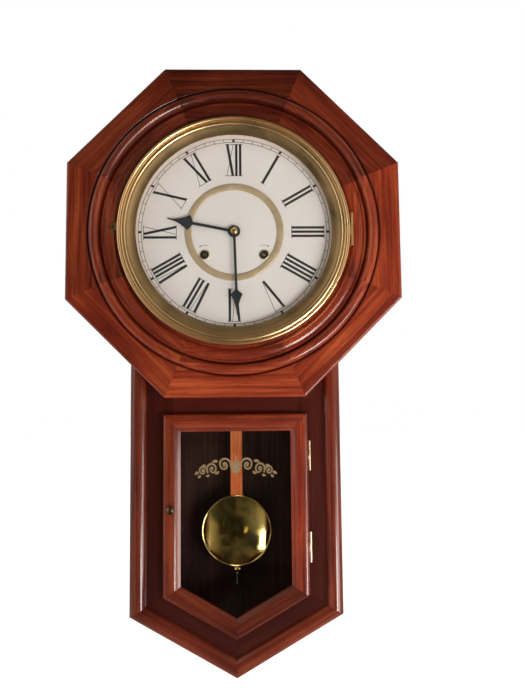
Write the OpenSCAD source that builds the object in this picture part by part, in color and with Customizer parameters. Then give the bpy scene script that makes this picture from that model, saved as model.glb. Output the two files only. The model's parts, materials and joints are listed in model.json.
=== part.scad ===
// Drop-octagon pendulum wall clock, in millimetres.
// Every part is drawn in a face view and then stood up: x runs right, y runs up and
// z runs from the wall towards the reader. In the face view the dial's centre is at
// x = 0, y = 0 and the wall is at z = 0. After standing up, the origin is the hanger
// hole at the back of the case, +Z is up and the front faces -Y.

/* [Octagon] */
// Width across the flats of the octagon
oct_flats = 430; // [424:1:440]
// Distance from the wall to the octagon's flat front
oct_front = 120; // [119:0.5:121]
// Height of the ring bead's crest above the octagon's flat front
bead_rise = 4; // [2:0.5:5]
// Height of the hanger hole above the dial's centre
dial_drop = 145; // [143:1:148]

/* [Case] */
// Half of the width of the lower case's face
trunk_half = 135; // [132:1:138]
// Distance from the dial's centre down to the lower case's side corners
trunk_corner = 489; // [485:1:492]
// Slope of the two bottom edges, in degrees
v_slope = 29.5; // [28:0.5:30]
// Thickness of the backboard
back_t = 8; // [7:0.5:9]
// Thickness of the side, top and bottom boards
board_t = 12; // [10:1:13]
// Distance from the wall to the front of the face frame
band_front = 92; // [91.9:0.1:92]
// Width of the half-round edge moulding
edge_w = 21; // [18:1:22]
// Rise of the half-round edge moulding above the face frame
edge_rise = 8; // [6:0.5:9]

/* [Door] */
// Distance from the lower case's edge to the door's edge
door_inset = 43; // [42:0.5:44]
// Distance from the dial's centre down to the top of the door
door_top = 236; // [234:1:240]
// Width of the door's stiles and rails
door_member = 22; // [21:0.5:24]
// Distance from the wall to the door's front
door_front = 106; // [105:0.5:107]

/* [Dial and hands] */
// Radius of the dial plate
dial_r = 141; // [140:0.5:141.5]
// Sideways distance from the centre to each winding hole
wind_x = 38.5; // [38:0.5:39]
// Distance from the centre down to the winding holes
wind_y = 30; // [29.5:0.5:30.5]
// Length of the minute hand
minute_len = 110; // [104:1:116]
// Length of the hour hand
hour_len = 88; // [84:1:92]
// Clockwise angle of the minute hand from twelve
minute_at = 178.2; // [0:0.1:360]
// Clockwise angle of the hour hand from twelve
hour_at = 281.3; // [0:0.1:360]

/* [Pendulum] */
// Height of the suspension above the dial's centre
hang_y = 62; // [61.5:0.5:62.5]
// Distance from the dial's centre down to the bob's centre
bob_y = 393; // [385:1:400]
// Radius of the bob
bob_r = 48; // [44:1:50]
// Thickness of the bob
bob_t = 18; // [16:1:19]
// Width of the wooden rod
rod_w = 16; // [14:1:17]

/* [Hidden] */
$fn = 96;
e = 0.02;                                   // fitting gap between glued or clamped pieces
run = 0.05;                                 // radial running clearance of a shaft

// Octagon and its turned ring moulding
oct_r = oct_flats / 2;
oct_back = band_front + e;
bead_r0 = 174;
bead_r1 = 187;
dial_hole_r = 118;
dial_shelf = 106;
dial_t = 1;
dial_face = dial_shelf + dial_t;
grommet_r = 6.8;
seat_r0 = 142.5;
seat_d = 108;
seat_r1 = 153;

// Lower case
frame_back = 86;
frame_cover = 12;                           // overlap of the door on the face frame
case_inset = 5;                             // overhang of the face over the case sides
case_top = 165;
rail_top = 190;
trunk_tip = trunk_corner + trunk_half * tan(v_slope);

// Door
door_back = 93.2;
door_half = trunk_half - door_inset;
glass_t = 2;
rebate_w = 5;
rebate_front = 99.5;
hinge_x = door_half + 2.4;
hinge_d = 95.2;
hinge_r = 2.1;
hinge_len = 38;
hinge_ys = [-290, -405];
knuckle_gap = 0.2;                          // half of the gap between two knuckles
leaf_t = 1;
pin_r = 0.9;
knob_x = -82;
knob_y = -355;
tongue_len = 16;
shank_r = 2.5;

// Bezel
bezel_r = 150;
bezel_back = 109.2;
bezel_in = 126;
bezel_front = 124.4;
dial_glass_front = 118.6;
glass_back = dial_glass_front - glass_t;
glass_seat_r = 131.6;
bezel_hinge_x = bezel_r + 2.4;
bezel_hinge_d = 119.6;
bezel_hinge_r = 1.6;
bezel_hinge_len = 43;
bezel_pin_r = 0.7;
bezel_leaf_t = 0.8;
hinge_recess_x = 155.2;
catch_y = 7;
catch_d = 110;
catch_screw_x = -156;
catch_r = 5;

// Movement
plate_t = 2;
back_plate = 44;
front_plate = 84;
plate_half = 84;
plate_low = -78;
plate_high = 74;
pillars = [[-75, -69], [75, -69], [-75, 65], [75, 65]];
wind_at = [wind_x, -wind_y];
centre_teeth = 80;
third_teeth = 72;
escape_teeth = 29;
leaf_teeth = 8;                             // leaves of every train pinion
cannon_teeth = 12;
minute_teeth = 36;
minute_leaves = 10;
hour_teeth = 40;
train_m = 0.75;
third_m = 0.65;
motion_m = 1;
motion_dist = motion_m * (cannon_teeth + minute_teeth) / 2;
hour_m = 2 * motion_dist / (minute_leaves + hour_teeth);
great_m = 2 * norm(wind_at) / (centre_teeth + leaf_teeth);
centre_to_third = train_m * (centre_teeth + leaf_teeth) / 2;
third_to_escape = third_m * (third_teeth + leaf_teeth) / 2;
escape_y = 34;
escape_r = 20;
third_y = (pow(centre_to_third, 2) - pow(third_to_escape, 2) + pow(escape_y, 2)) / (2 * escape_y);
third_at = [sqrt(pow(centre_to_third, 2) - pow(third_y, 2)), third_y];
minute_wheel_at = [-motion_dist * sin(45), motion_dist * sin(45)];
arbor_r = 3;
centre_r = 2.2;
hour_pipe_r = 4.4;
pivot_r = 1;
crutch_arbor_r = 1.2;
stud_r = 1.5;                               // fixed studs that a wheel or the hammer turns on
pillar_pin_r = 2.5;

// Distances from the wall at which arbors start: the pivot's tip and its shoulder
shake = 0.2;
pivot_start = back_plate + 0.5;
shoulder = back_plate + plate_t + shake;

// Depths of the wheels, each as [back, front]
great_d = [48, 50];
strike_great_d = [51.5, 53.5];
spring_d = [55, 72];
ratchet_d = [73.2, 75.2];
escape_d = [68, 69.5];
third_d = [74, 75.5];
centre_d = [78, 79.5];
motion_d = [90, 93];
hour_d = [96, 98];
hour_hand_d = [109.7, 110.7];
minute_hand_d = [112.2, 113.2];
tip_r = 0.8;

// Pendulum, hammer and gong
rod_d = 35;
rod_t = 5;
rod_top = 34;
rod_end = 6 - bob_y - bob_r;
spring_end = 42;
hammer_at = [-45, -50];
hammer_head = [-60.5, -140];
gong_at = [0, -140];
gong_d = 20;
gong_r = 50;
gong_wire = 1.5;
gong_pitch = 6;
gong_turns = 6;

// Screws that go in from the front, each as [x, y, distance from the wall to the head]
screw_r = 1.2;
screw_len = 8;
dial_screw_r = 136;
front_screws = [
    for (a = [45:90:315]) [dial_screw_r * cos(a), dial_screw_r * sin(a), dial_face],
    [catch_screw_x, catch_y, catch_d + 1]
];
hanger_screws = [-22, 22];
hanger_head_r = 3;

// ---------------------------------------------------------------- shared shapes

// Stands the face view up, with the hanger hole at the origin
module stood_up() {
    rotate([90, 0, 0]) translate([0, -dial_drop, 0]) children();
}

// A flat piece from distance d0 to distance d1 from the wall
module slab(d0, d1) {
    translate([0, 0, d0]) linear_extrude(d1 - d0) children();
}

// A block from xs[0] to xs[1], ys[0] to ys[1] and the distance ds[0] to ds[1] from the wall
module block(xs, ys, ds) {
    translate([xs[0], ys[0], ds[0]]) cube([xs[1] - xs[0], ys[1] - ys[0], ds[1] - ds[0]]);
}

// A round piece at p, of radius r, from distance d0 to distance d1 from the wall
module round_at(p, r, d0, d1) {
    translate([p[0], p[1], d0]) cylinder(r = r, h = d1 - d0);
}

// Points on an arc of an ellipse about c, with the half axes r, from the angle a0 to a1
function arc(c, r, a0, a1, n) = [
    for (i = [0:n]) let (a = a0 + (a1 - a0) * i / n) [c[0] + r[0] * cos(a), c[1] + r[1] * sin(a)]
];
function flip(p) = [-p[0], p[1]];
function between(a, b, f) = a + (b - a) * f;
function bearing(a, b) = atan2(b[1] - a[1], b[0] - a[0]);

// The lower case's outline moved inwards by t: bottom corner and bottom point
function v_point(t) = [0, -trunk_tip + t / cos(v_slope)];
function v_corner(t) = [trunk_half - t, v_point(t)[1] + (trunk_half - t) * tan(v_slope)];

// The door's outline moved inwards by t, from the top left corner clockwise
function door_outline(t) = [
    [t - door_half, -door_top - t], [door_half - t, -door_top - t],
    v_corner(door_inset + t), v_point(door_inset + t), flip(v_corner(door_inset + t))
];

// The part of a mitred frame between corner k and the next one, from t0 to t1 inwards
module door_mitre(k, t0, t1, gap = 0) {
    outer = door_outline(t0);
    inner = door_outline(t1);
    n = (k + 1) % 5;
    polygon([
        between(outer[k], outer[n], gap), between(outer[n], outer[k], gap),
        between(inner[n], inner[k], gap), between(inner[k], inner[n], gap)
    ]);
}

// Extrudes a moulding's section along +x: section x runs inwards and section y outwards
module moulding(length) {
    rotate([90, 0, 90]) linear_extrude(length) children();
}

// The mirror image of a piece, on the left
module left() { mirror([1, 0, 0]) children(); }

// ---------------------------------------------------------------- case

module backboard() {
    relief_r = 8;
    color("saddlebrown") stood_up() difference() {
        slab(0, back_t) polygon([
            [-v_corner(case_inset)[0], case_top], [v_corner(case_inset)[0], case_top],
            v_corner(case_inset), v_point(case_inset), flip(v_corner(case_inset))
        ]);
        slab(-1, plate_t + e) hanger_outline(0.1);
        round_at([0, dial_drop], relief_r, -1, back_t + 1);
        for (x = hanger_screws) round_at([x, dial_drop], screw_r + run, 0, screw_len - 1);
    }
}

module hanger_outline(grow) {
    half_w = 31 + grow;
    half_h = 15 + grow;
    translate([-half_w, dial_drop - half_h]) square([2 * half_w, 2 * half_h]);
}

module hanger_plate() {
    hole_r = 5;
    color("gray") stood_up() difference() {
        slab(0, plate_t) hanger_outline(0);
        round_at([0, dial_drop], hole_r, -1, plate_t + 1);
        for (x = hanger_screws) translate([x, dial_drop, -e])
            cylinder(r1 = hanger_head_r + 2 * run, r2 = screw_r + 2 * run, h = plate_t + 2 * e);
    }
}

module front_screw_bores() {
    for (s = front_screws) round_at([s[0], s[1]], screw_r + run, s[2] - screw_len - 1, s[2] + 1);
}

module wood_screws() {
    head_r = 2.4;
    head_h = 1.3;
    slot_w = 0.6;
    flush = 0.05;                           // how far the hanger's screws sit below its plate
    color("darkgoldenrod") stood_up() {
        for (s = front_screws) difference() {
            union() {
                round_at([s[0], s[1]], screw_r, s[2] - screw_len, s[2] + 0.2);
                translate([s[0], s[1], s[2] + e]) cylinder(r1 = head_r, r2 = head_r * 0.6, h = head_h);
            }
            block([s[0] - head_r, s[0] + head_r], [s[1] - slot_w / 2, s[1] + slot_w / 2],
                [s[2] + head_h * 0.6, s[2] + 2 * head_h]);
        }
        for (x = hanger_screws) difference() {
            union() {
                translate([x, dial_drop, flush])
                    cylinder(r1 = hanger_head_r, r2 = screw_r, h = plate_t - 2 * flush);
                round_at([x, dial_drop], screw_r, flush, screw_len - 2);
            }
            block([x - 4, x + 4], [dial_drop - slot_w / 2, dial_drop + slot_w / 2], [-1, slot_w]);
        }
    }
}

module side_board() {
    color("sienna") stood_up() slab(back_t, frame_back) polygon([
        [v_corner(case_inset)[0], case_top], v_corner(case_inset),
        v_corner(case_inset + board_t), [v_corner(case_inset + board_t)[0], case_top]
    ]);
}

module side_board_right() { side_board(); }
module side_board_left() { left() side_board(); }

module case_top_board() {
    half = v_corner(case_inset + board_t)[0];
    color("sienna") stood_up() slab(back_t, frame_back)
        translate([-half, case_top - board_t]) square([2 * half, board_t]);
}

module bottom_board() {
    color("sienna") stood_up() slab(back_t, frame_back) polygon([
        v_corner(case_inset), v_point(case_inset),
        v_point(case_inset + board_t), v_corner(case_inset + board_t)
    ]);
}

module bottom_board_right() { bottom_board(); }
module bottom_board_left() { left() bottom_board(); }

// Section of the octagon from the dial's opening outwards: shelf for the dial, seat for
// the bezel, a low round, a groove, the large bead and the flat face
module octagon_section() {
    crest = oct_front + bead_rise;
    bead_mid = (bead_r0 + bead_r1) / 2;
    round_top = seat_d + 6.5;
    polygon(concat(
        [[dial_hole_r, oct_back], [dial_hole_r, dial_shelf], [seat_r0, dial_shelf]],
        [[seat_r0, seat_d], [seat_r1, seat_d]],
        arc([161, seat_d + 1], [7.5, round_top - seat_d - 1], 180, 60, 8),
        [[166, 113], [168.4, 113], [169.4, 115], [171.4, 115], [172.4, 112.4]],
        arc([bead_mid, oct_front - 3.4], [(bead_r1 - bead_r0) / 2, crest - oct_front + 3.4], 180, 0, 14),
        [[bead_r1 + 0.6, oct_front - 3], [bead_r1 + 1.2, oct_front - 0.8]],
        [[bead_r1 + 2.6, oct_front], [oct_r * 1.2, oct_front], [oct_r * 1.2, oct_back]]
    ));
}

module octagon_segments() {
    joint_gap = 0.005;                      // half of the angle left at each glued mitre
    half_angle = 22.5 - joint_gap;
    color("firebrick") stood_up() for (k = [0:7]) rotate([0, 0, 45 * k]) difference() {
        intersection() {
            rotate([0, 0, -30]) rotate_extrude(angle = 60) octagon_section();
            slab(oct_back - 1, oct_front + 10) polygon([
                [0, 0], [oct_r, -oct_r * tan(half_angle)], [oct_r, oct_r * tan(half_angle)]
            ]);
        }
        rotate([0, 0, -45 * k]) {
            front_screw_bores();
            slab(catch_d, catch_d + 10) bezel_catch_outline(0.3);
            // Recess for the bezel's hinge
            block([bezel_r - 2, hinge_recess_x], [-bezel_hinge_len / 2 - 0.5, bezel_hinge_len / 2 + 0.5],
                [seat_d, oct_front]);
        }
    }
}

// Section of the case's face frame: half-round edge moulding, then the flat band
module frame_section() {
    polygon(concat(
        [[0, frame_back], [0, band_front]],
        arc([edge_w / 2, band_front], [edge_w / 2, edge_rise], 180, 0, 14),
        [[door_inset + frame_cover, band_front], [door_inset + frame_cover, frame_back]]
    ));
}

// The octagon's outline, a little larger, which the edge mouldings stop against
module octagon_shadow() {
    slab(band_front, oct_front) rotate([0, 0, 22.5]) circle(r = (oct_r + e) / cos(22.5), $fn = 8);
}

module frame_stile() {
    depth = door_inset + frame_cover;
    difference() {
        intersection() {
            translate([trunk_half, -trunk_tip, 0]) rotate([0, 0, 90])
                moulding(trunk_tip + case_top) frame_section();
            slab(frame_back - 1, oct_front) polygon([
                [trunk_half, case_top], v_corner(0), v_corner(depth), [v_corner(depth)[0], case_top]
            ]);
        }
        octagon_shadow();
    }
}

module frame_right_stile() { color("brown") stood_up() frame_stile(); }

module frame_left_stile() {
    color("brown") stood_up() difference() {
        left() frame_stile();
        // Slot that the latch's tongue passes when the door swings
        block([knob_x - 4, knob_x + 6], [knob_y - tongue_len - 4, knob_y + 5],
            [frame_back - 1, band_front + 1]);
    }
}

module frame_top_rail() {
    half = v_corner(door_inset + frame_cover)[0];
    color("brown") stood_up() slab(frame_back, band_front)
        translate([-half, -door_top - frame_cover]) square([2 * half, door_top + frame_cover - rail_top]);
}

module frame_bottom_rail() {
    depth = door_inset + frame_cover;
    intersection() {
        translate([0, -trunk_tip, 0]) rotate([0, 0, v_slope]) translate([-50, 0, 0])
            moulding(trunk_half * 2) frame_section();
        slab(frame_back - 1, oct_front)
            polygon([v_corner(0), v_point(0), v_point(depth), v_corner(depth)]);
    }
}

module frame_bottom_right_rail() { color("brown") stood_up() frame_bottom_rail(); }
module frame_bottom_left_rail() { color("brown") stood_up() left() frame_bottom_rail(); }

// ---------------------------------------------------------------- dial

module dial_plate() {
    hole_r = 6;
    color("linen") stood_up() difference() {
        round_at([0, 0], dial_r, dial_shelf, dial_face);
        for (p = [[0, 0], wind_at, flip(wind_at)]) round_at(p, hole_r, dial_shelf - 1, dial_face + 1);
        front_screw_bores();
    }
}

module dial_centre_ring() {
    mid_r = 60;
    half_w = 4.5;
    rise = 2;
    color("gold") stood_up() translate([0, 0, dial_face]) difference() {
        rotate_extrude() polygon(arc([mid_r, 0], [half_w, rise], 0, 180, 12));
        for (p = [wind_at, flip(wind_at)]) round_at(p, grommet_r + 0.1, -1, rise + 1);
    }
}

module winding_hole_grommets() {
    bore_r = 5.2;
    wall = 0.75;
    depth = 2.2;
    rise = 0.7;
    color("gold") stood_up() for (p = [wind_at, flip(wind_at)]) translate([p[0], p[1], dial_face])
        rotate_extrude() polygon([
            [bore_r, -depth], [bore_r + wall, -depth], [bore_r + wall, e], [grommet_r, e],
            [grommet_r, rise / 2], [grommet_r - rise, rise], [bore_r, rise]
        ]);
}

// ---------------------------------------------------------------- wheels

// A toothed wheel's outline. One tooth is centred at the angle phase
module toothed(teeth, m, phase) {
    r = teeth * m / 2;
    pitch = 360 / teeth;
    rotate(phase) polygon([
        for (i = [0:teeth - 1], c = [[-0.31, -1.1], [-0.12, 0.8], [0.12, 0.8], [0.31, -1.1]])
            let (a = (i + c[0]) * pitch) (r + c[1] * m) * [cos(a), sin(a)]
    ]);
}

// Phases that put a tooth of one wheel into a gap of the other
function gap_phase(teeth, from, to) = bearing(from, to) + 180 / teeth;
function tooth_phase(from, to) = bearing(from, to) + 180;

// A wheel with a bore and round openings between its spokes
module wheel(teeth, m, phase, d, bore, spokes) {
    r = teeth * m / 2;
    hole_r = r * 0.22;
    hole_at = r * 0.55;
    slab(d[0], d[1]) difference() {
        toothed(teeth, m, phase);
        circle(r = bore);
        for (i = [1:spokes]) rotate(360 * i / spokes) translate([hole_at, 0]) circle(r = hole_r);
    }
}

// An arbor of radius r with a pivot in each plate
module pivoted_arbor(r) {
    round_at([0, 0], pivot_r, pivot_start, front_plate + plate_t - 0.5);
    round_at([0, 0], r, shoulder, front_plate - shake);
}

module centre_arbor() {
    into_nut = 0.7;
    color("silver") stood_up() {
        round_at([0, 0], pivot_r, pivot_start, shoulder + 0.3);
        round_at([0, 0], centre_r, shoulder, minute_hand_d[1] + into_nut);
        round_at([0, 0], arbor_r, front_plate - 3, minute_hand_d[0]);
        slab(great_d[0] - 0.5, great_d[1] + 0.5)
            toothed(leaf_teeth, great_m, tooth_phase(wind_at, [0, 0]));
        slab(motion_d[0] - 0.5, motion_d[1] + 0.5)
            toothed(cannon_teeth, motion_m, tooth_phase(minute_wheel_at, [0, 0]));
    }
}

module centre_wheel() {
    color("goldenrod") stood_up()
        wheel(centre_teeth, train_m, gap_phase(centre_teeth, [0, 0], third_at), centre_d, centre_r + e, 5);
}

module third_wheel() {
    color("goldenrod") stood_up() translate([third_at[0], third_at[1], 0]) {
        pivoted_arbor(1.5);
        slab(centre_d[0] - 1, centre_d[1] + 1) toothed(leaf_teeth, train_m, tooth_phase([0, 0], third_at));
        wheel(third_teeth, third_m, gap_phase(third_teeth, third_at, [0, escape_y]), third_d, 1, 5);
    }
}

module escape_wheel() {
    root_r = 16.5;
    hook = 0.42;                            // how far each tooth leans, in pitches
    corners = [[0, root_r], [hook, escape_r], [hook + 0.1, escape_r], [0.5, root_r]];
    color("goldenrod") stood_up() translate([0, escape_y, 0]) {
        pivoted_arbor(1.4);
        slab(third_d[0] - 1, third_d[1] + 1)
            toothed(leaf_teeth, third_m, tooth_phase(third_at, [0, escape_y]));
        slab(escape_d[0], escape_d[1]) difference() {
            polygon([
                for (i = [0:escape_teeth - 1], c = corners)
                    let (a = (i + c[0]) * 360 / escape_teeth) c[1] * [cos(a), sin(a)]
            ]);
            circle(r = 1);
            for (i = [1:5]) rotate(72 * i) translate([9, 0]) circle(r = 3.6);
        }
    }
}

module minute_wheel() {
    bore = stud_r + run;
    phase = gap_phase(minute_teeth, minute_wheel_at, [0, 0]);
    color("goldenrod") stood_up() translate([minute_wheel_at[0], minute_wheel_at[1], 0]) {
        wheel(minute_teeth, motion_m, phase, motion_d, bore, 4);
        slab(motion_d[1], hour_d[1] + 1) difference() {
            toothed(minute_leaves, hour_m, tooth_phase([0, 0], minute_wheel_at));
            circle(r = bore);
        }
    }
}

module hour_wheel() {
    bore = arbor_r + run;
    color("goldenrod") stood_up() {
        wheel(hour_teeth, hour_m, gap_phase(hour_teeth, [0, 0], minute_wheel_at), hour_d, bore, 4);
        slab(hour_d[1] - 0.5, hour_hand_d[1]) difference() {
            circle(r = hour_pipe_r);
            circle(r = bore);
        }
    }
}

module great_wheel(at, d, phase) {
    color("goldenrod") stood_up() translate([at[0], at[1], 0])
        wheel(centre_teeth, great_m, phase, d, arbor_r + run, 6);
}

module time_great_wheel() { great_wheel(wind_at, great_d, gap_phase(centre_teeth, wind_at, [0, 0])); }
module strike_great_wheel() { great_wheel(flip(wind_at), strike_great_d, 0); }

module winding_arbor(at) {
    ratchet_teeth = 20;
    ratchet_r = 14;
    root_r = 12;
    square_w = 4.4;
    square_d = [97, 106.6];
    hub_r = 6.5;
    corners = [[0, root_r], [0.9, ratchet_r], [0.99, root_r]];
    color("silver") stood_up() translate([at[0], at[1], 0]) {
        round_at([0, 0], pivot_r, pivot_start, shoulder + 0.3);
        round_at([0, 0], arbor_r, shoulder, square_d[0] + 1.2);
        round_at([0, 0], hub_r, spring_d[0], spring_d[1]);
        slab(ratchet_d[0], ratchet_d[1]) polygon([
            for (i = [0:ratchet_teeth - 1], c = corners)
                let (a = (i + c[0]) * 360 / ratchet_teeth) c[1] * [cos(a), sin(a)]
        ]);
        slab(square_d[0], square_d[1]) square(square_w, center = true);
    }
}

module time_winding_arbor() { winding_arbor(wind_at); }
module strike_winding_arbor() { winding_arbor(flip(wind_at)); }

// A flat coiled spring around a winding arbor
module mainspring(at) {
    turns = 5;
    step = 15;
    r0 = 7.6;
    growth = 22 / turns / 360;
    strip = 1.6;
    n = turns * 360 / step;
    color("slategray") stood_up() translate([at[0], at[1], 0]) slab(spring_d[0], spring_d[1])
        polygon(concat(
            [for (i = [0:n]) let (a = i * step) (r0 + growth * a) * [cos(a), sin(a)]],
            [for (i = [n:-1:0]) let (a = i * step) (r0 + strip + growth * a) * [cos(a), sin(a)]]
        ));
}

module time_mainspring() { mainspring(wind_at); }
module strike_mainspring() { mainspring(flip(wind_at)); }

// ---------------------------------------------------------------- movement frame

module plate_outline() {
    corner = 12;
    polygon([
        [-plate_half, plate_low + corner], [corner - plate_half, plate_low],
        [plate_half - corner, plate_low], [plate_half, plate_low + corner],
        [plate_half, plate_high - corner], [plate_half - corner, plate_high],
        [corner - plate_half, plate_high], [-plate_half, plate_high - corner]
    ]);
}

module pivot_holes(d, wind_r, centre_r) {
    ends = [d - 1, d + plate_t + 1];
    for (p = [third_at, [0, escape_y]]) round_at(p, pivot_r + run, ends[0], ends[1]);
    for (p = [wind_at, flip(wind_at)]) round_at(p, wind_r + run, ends[0], ends[1]);
    round_at([0, 0], centre_r + run, ends[0], ends[1]);
    for (p = pillars) round_at(p, pillar_pin_r + run, ends[0], ends[1]);
}

module movement_front_plate() {
    color("goldenrod") stood_up() {
        difference() {
            slab(front_plate, front_plate + plate_t) plate_outline();
            pivot_holes(front_plate, arbor_r, arbor_r);
            round_at([0, hang_y], pivot_r + run, front_plate - 1, front_plate + 3);
        }
        round_at(minute_wheel_at, stud_r, front_plate + plate_t, hour_d[1] + 2);
    }
}

module movement_back_plate() {
    color("goldenrod") stood_up() {
        difference() {
            slab(back_plate, back_plate + plate_t) plate_outline();
            pivot_holes(back_plate, pivot_r, pivot_r);
            round_at([0, hang_y], crutch_arbor_r + run, back_plate - 1, back_plate + 3);
        }
        round_at(hammer_at, stud_r, 12, back_plate);
    }
}

// Each pillar is one turned piece: a foot on the backboard, a waist between the plates and
// a nut in front
module movement_pillars() {
    foot_r = 7;
    foot_h = 3;
    waist_r = 4;
    nut_r = 4.6;
    nut_h = 2.5;
    front = front_plate + plate_t;
    color("darkgoldenrod") stood_up() for (p = pillars) {
        round_at(p, foot_r, back_t, back_t + foot_h);
        round_at(p, waist_r, back_t, back_plate - e);
        round_at(p, pillar_pin_r, back_t, front + nut_h + 0.5);
        round_at(p, waist_r, back_plate + plate_t + e, front_plate - e);
        translate([p[0], p[1], front + e]) cylinder(r = nut_r, h = nut_h, $fn = 6);
    }
}

module suspension_cock() {
    half_w = 4;
    slit = 0.3;                             // half of the slit that holds the spring
    jaw_top = hang_y + 11.35;
    jaw_d = [rod_d - 5, rod_d + 5];
    color("goldenrod") stood_up() difference() {
        union() {
            block([-half_w, half_w], [hang_y + 0.35, jaw_top], jaw_d);
            block([-half_w, half_w], [hang_y + 4, jaw_top], [jaw_d[1] - 1, back_plate - e]);
        }
        block([-slit, slit], [hang_y, hang_y + 8], [jaw_d[0] + 1, jaw_d[1] - 1]);
    }
}

// The gong: a flat coil of wire in half turns, on an iron block screwed to the backboard
module gong() {
    step = gong_pitch / 2;
    post_r = 4.5;
    foot_r = 9;
    foot_h = 4;
    color("dimgray") stood_up() translate([gong_at[0], gong_at[1], 0]) {
        for (i = [0:2 * gong_turns - 1]) {
            r = gong_r - i * step;
            side = i % 2;
            translate([side * step, 0, gong_d]) rotate([0, 0, 180 * side])
                rotate_extrude(angle = 180) translate([r, 0]) circle(r = gong_wire, $fn = 24);
        }
        translate([gong_r - 2 * gong_turns * step + step / 2, 0, 0]) {
            round_at([0, 0], post_r, back_t, gong_d - gong_wire + 0.5);
            round_at([0, 0], foot_r, back_t, back_t + foot_h);
        }
    }
}

module anchor_and_crutch() {
    hub_r = 4;
    crutch_d = [40.5, 42];
    crutch_half = 1.6;
    fork_y = [-20, -17];
    fork_x = rod_w / 2 + 0.5;
    fork_t = 1.4;
    color("silver") stood_up() {
        slab(escape_d[0] - 0.8, escape_d[1] + 0.8) {
            translate([0, hang_y]) circle(r = hub_r);
            anchor_arm();
            mirror([1, 0]) anchor_arm();
        }
        round_at([0, hang_y], crutch_arbor_r, crutch_d[0], front_plate - shake);
        round_at([0, hang_y], pivot_r, front_plate - 1, front_plate + plate_t - 0.5);
        block([-crutch_half, crutch_half], [fork_y[0], hang_y], crutch_d);
        block([-fork_x - fork_t, fork_x + fork_t], fork_y, crutch_d);
        for (x = [-fork_x - fork_t, fork_x]) block([x, x + fork_t], fork_y, [rod_d - 4, crutch_d[1]]);
    }
}

// One arm of the anchor with its pallet, which stands clear of the escape wheel's teeth
module anchor_arm() {
    arm = [18.6, 52.5];
    pallet = [17.6, 48.5];
    polygon([[0, hang_y - 1.5], [0, hang_y + 2.5], [arm[0], arm[1] + 2], [arm[0] + 1.5, arm[1] - 1.5]]);
    polygon([
        [arm[0] - 1.6, arm[1] + 2], [arm[0] + 1.5, arm[1]],
        [pallet[0] + 1.4, pallet[1]], [pallet[0] - 0.2, pallet[1] + 0.8]
    ]);
}

module strike_hammer() {
    hub_r = 3.4;
    hub_d = [gong_d - 4, gong_d + 4];
    arm_r = 1.2;
    head_r = 4.5;
    head_len = 16;
    color("silver") stood_up() {
        difference() {
            union() {
                round_at(hammer_at, hub_r, hub_d[0], hub_d[1]);
                translate([hammer_at[0], hammer_at[1], gong_d])
                    rotate([0, 90, bearing(hammer_at, hammer_head)])
                        cylinder(r = arm_r, h = norm(hammer_head - hammer_at));
            }
            round_at(hammer_at, stud_r + run, hub_d[0] - 1, hub_d[1] + 1);
        }
        translate([hammer_head[0] - head_len / 2, hammer_head[1], gong_d]) rotate([0, 90, 0])
            cylinder(r = head_r, h = head_len);
    }
}

// ---------------------------------------------------------------- hands

// Half of a spade hand's width at distance r from the centre, for a hand that narrows to
// the radius tip_r of its rounded end at the distance end
function spade(r, end, neck, belly, half_bar, half_belly) =
    r < neck ? half_bar
    : r < belly ? half_bar + (half_belly - half_bar) * pow(sin(90 * (r - neck) / (belly - neck)), 1.6)
    : tip_r + (half_belly - tip_r) * pow(1 - (r - belly) / (end - belly), 2.1);

module spade_hand(length, neck, belly, half_bar, half_belly, hub_r, bore, d, angle) {
    end = length - tip_r;
    steps = concat([0, neck], [for (i = [1:8]) neck + (belly - neck) * i / 8],
        [for (i = [1:12]) belly + (end - belly) * i / 12]);
    side = [for (r = steps) [spade(r, end, neck, belly, half_bar, half_belly), r]];
    slab(d[0], d[1]) rotate(-angle) difference() {
        union() {
            circle(r = hub_r);
            translate([0, end]) circle(r = tip_r, $fn = 24);
            polygon(concat(side, [for (i = [len(side) - 1:-1:0]) flip(side[i])]));
        }
        circle(r = bore);
    }
}

module minute_hand() {
    color("black") stood_up()
        spade_hand(minute_len, 77, 84, 1.7, 7.6, 5.5, centre_r + e, minute_hand_d, minute_at);
}

module hour_hand() {
    color("black") stood_up()
        spade_hand(hour_len, 54, 60.5, 1.9, 9.8, 8, hour_pipe_r + e, hour_hand_d, hour_at);
}

module hand_nut() {
    flange_r = 4.6;
    dome_r = 4.3;
    flange_d = minute_hand_d[1] + 0.8;
    top = 116;
    color("gold") stood_up() rotate_extrude() polygon(concat(
        [[0, flange_d], [centre_r + e, flange_d], [centre_r + e, minute_hand_d[1] + e]],
        [[flange_r, minute_hand_d[1] + e], [flange_r, flange_d]],
        arc([0, flange_d], [dome_r, top - flange_d], 0, 90, 8)
    ));
}

// ---------------------------------------------------------------- bezel

// Section from the back of the bezel outwards: wall, outer bead, groove, low round, slope and lip
module bezel_ring() {
    bead = [2.3, 2.6];                      // half width and rise of the outer bead
    wall_d = bezel_front - 3;
    groove_r = bezel_r - 2 * bead[0] - 0.4;
    round = [3, 1.6];                       // half width and rise of the low round
    slope_r = groove_r - 2 * round[0];
    lip_d = dial_glass_front + 1.2;
    color("gold") stood_up() rotate_extrude() polygon(concat(
        [[bezel_r - 12, bezel_back], [bezel_r, bezel_back]],
        arc([bezel_r - bead[0], wall_d], bead, 0, 180, 8),
        [[groove_r + 0.4, wall_d - 0.6], [groove_r, wall_d - 0.6]],
        arc([groove_r - round[0], wall_d], round, 0, 180, 6),
        [[slope_r, wall_d - 0.5], [slope_r - 3, wall_d - 0.3], [slope_r - 7, wall_d - 0.8]],
        [[slope_r - 10.8, lip_d + 0.3], [bezel_in, lip_d], [bezel_in, dial_glass_front + e]],
        [[glass_seat_r, dial_glass_front + e], [glass_seat_r, glass_back - 2.1]]
    ));
}

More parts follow.
